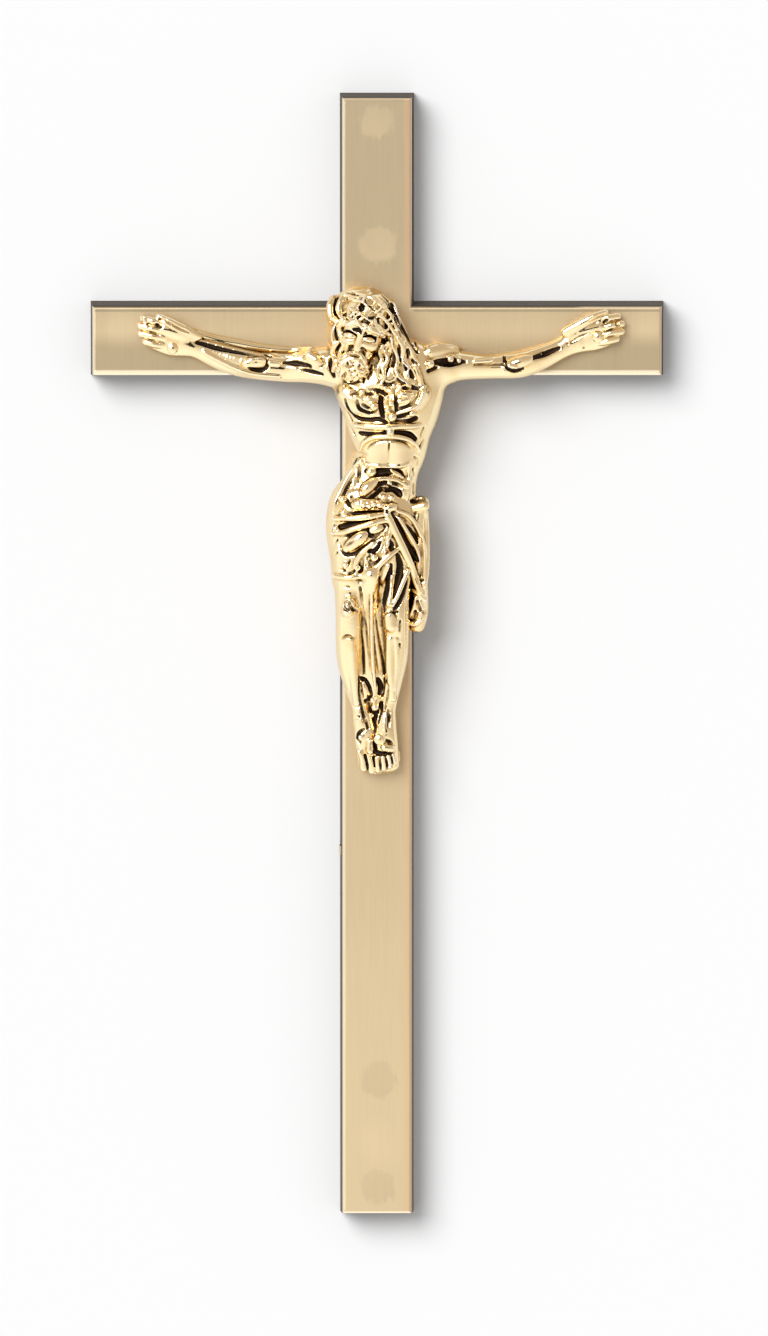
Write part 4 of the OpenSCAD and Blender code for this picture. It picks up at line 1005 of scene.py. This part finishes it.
def polished_gold(finish):
    """Bright plated gold, with tarnish and painted shade in the creases, painted shade down the sides,
    painted highlights on the raised beads and the faint ripple of a casting.
    """
    shade = Shade("polished_gold_finish")
    cavity, crest = shade.stored("cavity"), shade.stored("crest")
    speck = shade.noise(1500, 3, 0.6)
    cloud = shade.noise(160, 2, 0.5)
    ripple = shade.noise(700, 2, 0.5)
    # The creases and grooves take near-black gold: partly tarnish, partly painted shade
    tarnish_and_shade = (cavity + (speck - 0.5) * 0.35).rise(0.14, 0.5)
    # Deeper ochre gold is painted as shade on faces turned to the side and next to the creases, and in
    # random clouds
    _, ny, _ = shade.parts(shade.place("Normal"))
    side = (ny + 1).rise(0.25, 0.95)
    deep = ((cavity - 0.02).rise(0.0, 0.16) * 0.55 + side * 0.6 + cloud.rise(0.55, 0.75) * 0.3).clamped()
    gold = shade.toned(shade.mix(deep, finish.gold, finish.ochre_shade), cloud.about(1, 0.10))
    # Paler gold is painted on the raised beads and ridges as a highlight
    gold = shade.mix(crest.rise(0.15, 0.6), gold, finish.crest)
    rough = (speck - 0.5) * 0.10 + tarnish_and_shade * 0.30 + finish.roughness
    return shade.surface(base_color=shade.mix(tarnish_and_shade, gold, finish.tarnish_and_shade), metallic=1.0,
                         roughness=rough.clamped(), normal=shade.bump(ripple, 0.03 * MM, 0.6))


def nail_gold(finish):
    """Polished gold with fine scratches."""
    shade = Shade("nail_gold_finish")
    scratch = shade.noise((6000, 900, 900))
    return shade.surface(base_color=shade.toned(finish.nail, scratch.about(1, 0.1)), metallic=1.0,
                         roughness=scratch.about(0.14, 0.1), normal=shade.bump(scratch, 0.01 * MM))


def back_sheet(finish):
    """Dark satin lacquer with dust, worn to the steel in places."""
    shade = Shade("back_sheet_finish")
    speck = shade.noise(2200, 3, 0.7)
    cloud = shade.noise(90, 3, 0.6)
    streak = shade.noise((4000, 4000, 60))
    worn = ((speck + cloud) / 2 + (streak - 0.5) * 0.2).rise(0.60, 0.68) * 0.5
    return shade.surface(base_color=shade.mix(worn, shade.toned(finish.sheet, cloud.about(1, 0.6)), WORN),
                         metallic=worn * 0.8 + 0.1, roughness=cloud.about(0.48, 0.3),
                         normal=shade.bump(speck, 0.02 * MM, 0.7))


def zinc_plate(finish):
    """Bright zinc with a mottled bloom."""
    shade = Shade("zinc_plate_finish")
    mottle = shade.noise(1300, 3, 0.6)
    tint = shade.mix(shade.noise(300).rise(0.4, 0.7), finish.zinc, BLOOM)
    return shade.surface(base_color=shade.toned(tint, mottle.about(1, 0.3)), metallic=1.0,
                         roughness=mottle.about(0.34, 0.25), normal=shade.bump(mottle, 0.01 * MM))


def washed_steel(finish):
    """Brass-washed steel, its wash thin in places, drawn along its length."""
    shade = Shade("washed_steel_finish")
    drawn = shade.noise((7000, 7000, 350))
    tint = shade.mix(shade.noise(420, 3, 0.6).rise(0.52, 0.70), finish.steel, BARE)
    return shade.surface(base_color=shade.toned(tint, drawn.about(1, 0.24)), metallic=1.0,
                         roughness=drawn.about(0.42, 0.2), normal=shade.bump(drawn, 0.01 * MM))


def dress(material, *nodes):
    """Gives frame nodes a material in place of their plain one."""
    for name in nodes:
        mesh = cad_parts[name].data
        mesh.materials.clear()
        mesh.materials.append(material)


# ---------------------------------------------------------------- operators

class CRUCIFIX_OT_cross(bpy.types.Operator):
    """Finishes the cross in satin gold and its back sheet in lacquer"""
    bl_idname = "crucifix.cross"
    bl_label = "Finish Cross"

    def execute(self, context):
        finish = context.scene.crucifix_cross
        dress(satin_gold(finish), "cross_shell")
        dress(back_sheet(finish), "back_plate")
        return {"FINISHED"}


# How much coarser the quick figure's voxels are, and the fewest faces a whole figure has
QUICK_STEP, LEAST_FACES = 1.6, 10000
# Reach in shares of the two blurs that find creases and ridges
BLURS = (0.45, 1.3)
# How strongly creases, the grooves' tarnish and painted shade, and the ridges' painted highlight are stored
CREASE_GAIN, GROOVE_SHADE_GAIN, RIDGE_HIGHLIGHT_GAIN = 1.6, 0.75, 2.4


class CRUCIFIX_OT_figure(bpy.types.Operator):
    """Models the cast figure in relief and sets it in place of the frame's plain one"""
    bl_idname = "crucifix.figure"
    bl_label = "Model Figure"

    def execute(self, context):
        finish = context.scene.crucifix_figure
        step = finish.voxel / SHARE * 1
        clay = model_figure(step)
        points, quads = largest_shell(*skin(clay.field, clay.low, clay.step))
        if len(quads) < LEAST_FACES:
            raise RuntimeError("the figure came out with only %d faces" % len(quads))
        # Creases and grooves are stored for the gold's tarnish and painted shade, ridges for its painted
        # highlight
        solid = (clay.field < 0).astype(np.float32)
        near, wide = (sampled(blurred(solid, max(1, round(r / step))), clay.low, step, points) - 0.5
                      for r in BLURS)
        cavity = np.maximum((near + wide) * CREASE_GAIN, clay.groove_shade(points) * GROOVE_SHADE_GAIN)
        across, out, up = eased(points, quads).T
        points = np.stack([across, FACE_Y / SHARE - np.clip(out, 0, MOST_OUT), up], 1) * SHARE
        mesh = quad_mesh("cast_figure", points, quads, cavity=cavity, crest=-near * RIDGE_HIGHLIGHT_GAIN)
        mesh.materials.append(polished_gold(finish))
        figure = bpy.data.objects.new("cast_figure", mesh)
        context.scene.collection.objects.link(figure)
        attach(figure, "cross")
        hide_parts("corpus")
        return {"FINISHED"}


class CRUCIFIX_OT_nails(bpy.types.Operator):
    """Finishes the three nails in polished gold"""
    bl_idname = "crucifix.nails"
    bl_label = "Finish Nails"

    def execute(self, context):
        dress(nail_gold(context.scene.crucifix_figure), "nail_hand_left", "nail_hand_right", "nail_feet")
        return {"FINISHED"}


class CRUCIFIX_OT_hanger(bpy.types.Operator):
    """Finishes the screws and clips in zinc and the strap and ring in washed steel"""
    bl_idname = "crucifix.hanger"
    bl_label = "Finish Hanger"

    def execute(self, context):
        finish = context.scene.crucifix_hanger
        dress(zinc_plate(finish), "plate_screws", "strap_screw", "nail_clips")
        dress(washed_steel(finish), "hanger_strap", "hanger_ring")
        return {"FINISHED"}


# The middle of the picture on the cross's face, and which way the key light shines
TARGET = Vector((0.00127, FACE_Y, -0.05944))
KEY_WAY = Vector((0.62, 1.0, -0.62))
# Half the width of the ground and of the dark flag, and how far the flag stands from the cross
GROUND_HALF, FLAG_HALF, FLAG_AWAY = 1.5, 0.15, 1.0
# The ground lies just behind the cross, and is clear to rays that start closer than this
GROUND_Y, CLEAR_NEAR = 0.3 * MM, 2 * MM
FLAG_TINT = (0.03, 0.02, 0.012)
# What the metal sees of the light tent: its floor side and its darker, warmer top
TENT_LOW, TENT_HIGH = (1.24, 1.21, 1.14), (0.60, 0.50, 0.40)
PICTURE_H = 36.0


def stage_plane(name, centre, half, material):
    """A square sheet of the studio, upright and facing the front."""
    corners = ((-half, -half), (half, -half), (half, half), (-half, half))
    mesh = bpy.data.meshes.new(name)
    mesh.from_pydata([tuple(centre + Vector((a, 0, b))) for a, b in corners], [], [(0, 1, 2, 3)])
    mesh.materials.append(material)
    sheet = bpy.data.objects.new(name, mesh)
    bpy.context.scene.collection.objects.link(sheet)
    sheet.visible_diffuse = sheet.visible_shadow = False
    return sheet


def ground_material(tint):
    """Pale matt ground, clear from behind and to what lies close against it."""
    shade = Shade("ground_finish")
    matt = shade.node("ShaderNodeBsdfDiffuse", (), {"Color": tint})
    clear = shade.node("ShaderNodeBsdfTransparent")
    behind = shade.node("ShaderNodeNewGeometry", out="Backfacing")
    far = shade.node("ShaderNodeLightPath", out="Ray Length")
    unseen = behind.most(far.math("LESS_THAN", far, CLEAR_NEAR))
    return shade.finish(shade.node("ShaderNodeMixShader", (), {0: unseen, 1: matt, 2: clear}))


def flag_material():
    """The near-black sheet that the polished metal mirrors."""
    shade = Shade("flag_finish")
    return shade.finish(shade.node("ShaderNodeEmission", (), {"Color": FLAG_TINT, "Strength": 1.0}))


def studio_world(ambient):
    """Soft light from all round, white where the camera looks, a tent where metal or glass does."""
    world = bpy.data.worlds.new("studio")
    bpy.context.scene.world = world
    world.use_nodes = True
    shade = Shade(world=world)
    sight, gloss, glass = (shade.node("ShaderNodeLightPath", out="Is %s Ray" % kind)
                           for kind in ("Camera", "Glossy", "Transmission"))
    x, _, z = shade.parts(shade.place("Generated"))
    tent = shade.mix((z + x * 0.45).rise(-0.9, 0.75), TENT_LOW, TENT_HIGH)
    tint = shade.mix(gloss.most(glass), (ambient, ambient, ambient), tent)
    shade.finish(shade.node("ShaderNodeBackground", (), {"Color": shade.mix(sight, tint, (1, 1, 1))}))


class CRUCIFIX_OT_studio(bpy.types.Operator):
    """Sets up the pale ground, the lamps and the camera"""
    bl_idname = "crucifix.studio"
    bl_label = "Set Up Studio"

    def execute(self, context):
        studio = context.scene.crucifix_studio
        scene = context.scene
        towards = Vector((0, -math.cos(studio.height), math.sin(studio.height)))
        camera = bpy.data.cameras.new("camera")
        camera.sensor_fit = "VERTICAL"
        camera.sensor_height = PICTURE_H
        camera.lens = PICTURE_H / (studio.frame_h / studio.away)
        camera.clip_end = 20.0
        stand = bpy.data.objects.new("camera", camera)
        scene.collection.objects.link(stand)
        stand.location = TARGET + towards * studio.away
        stand.rotation_euler = (-towards).to_track_quat("-Z", "Y").to_euler()
        scene.camera = stand

        stage_plane("ground", Vector((0, GROUND_Y, 0)), GROUND_HALF, ground_material(tuple(studio.ground)))
        flag = stage_plane("dark_flag", TARGET + towards * FLAG_AWAY, FLAG_HALF, flag_material())
        flag.visible_camera = False

        key = bpy.data.lights.new("key", "SUN")
        key.energy = 2.5
        key.angle = math.radians(40)
        lamp = bpy.data.objects.new("key", key)
        scene.collection.objects.link(lamp)
        lamp.rotation_euler = KEY_WAY.to_track_quat("-Z", "Y").to_euler()
        studio_world(studio.ambient)
        scene.view_settings.view_transform = "Standard"
        return {"FINISHED"}


class CRUCIFIX_PT_panel(bpy.types.Panel):
    """Lists the steps that build the crucifix and their settings"""
    bl_idname = "CRUCIFIX_PT_panel"
    bl_label = "Wall Crucifix"
    bl_space_type = "VIEW_3D"
    bl_region_type = "UI"
    bl_category = "Crucifix"

    def draw(self, context):
        for group, (_, steps) in SETTINGS.items():
            box = self.layout.box()
            settings = getattr(context.scene, group)
            for name in settings.bl_rna.properties.keys():
                if name not in ("rna_type", "name"):
                    box.prop(settings, name)
            for step in steps:
                box.operator(step.bl_idname)


# Each group of settings with the steps that it serves, and the order in which the steps run
SETTINGS = {"crucifix_studio": (StudioSettings, (CRUCIFIX_OT_studio,)),
            "crucifix_cross": (CrossFinish, (CRUCIFIX_OT_cross,)),
            "crucifix_hanger": (HangerFinish, (CRUCIFIX_OT_hanger,)),
            "crucifix_figure": (FigureFinish, (CRUCIFIX_OT_nails, CRUCIFIX_OT_figure))}
STEPS = (CRUCIFIX_OT_studio, CRUCIFIX_OT_cross, CRUCIFIX_OT_nails, CRUCIFIX_OT_hanger, CRUCIFIX_OT_figure)
CLASSES = tuple(group for group, _ in SETTINGS.values()) + STEPS + (CRUCIFIX_PT_panel,)


def register():
    for cls in CLASSES:
        bpy.utils.register_class(cls)
    for name, (group, _) in SETTINGS.items():
        setattr(bpy.types.Scene, name, bpy.props.PointerProperty(type=group))


def unregister():
    for name in SETTINGS:
        delattr(bpy.types.Scene, name)
    for cls in reversed(CLASSES):
        bpy.utils.unregister_class(cls)


def main():
    register()
    for step in STEPS:
        group, name = step.bl_idname.split(".")
        getattr(getattr(bpy.ops, group), name)()


if __name__ == "__main__":
    main()
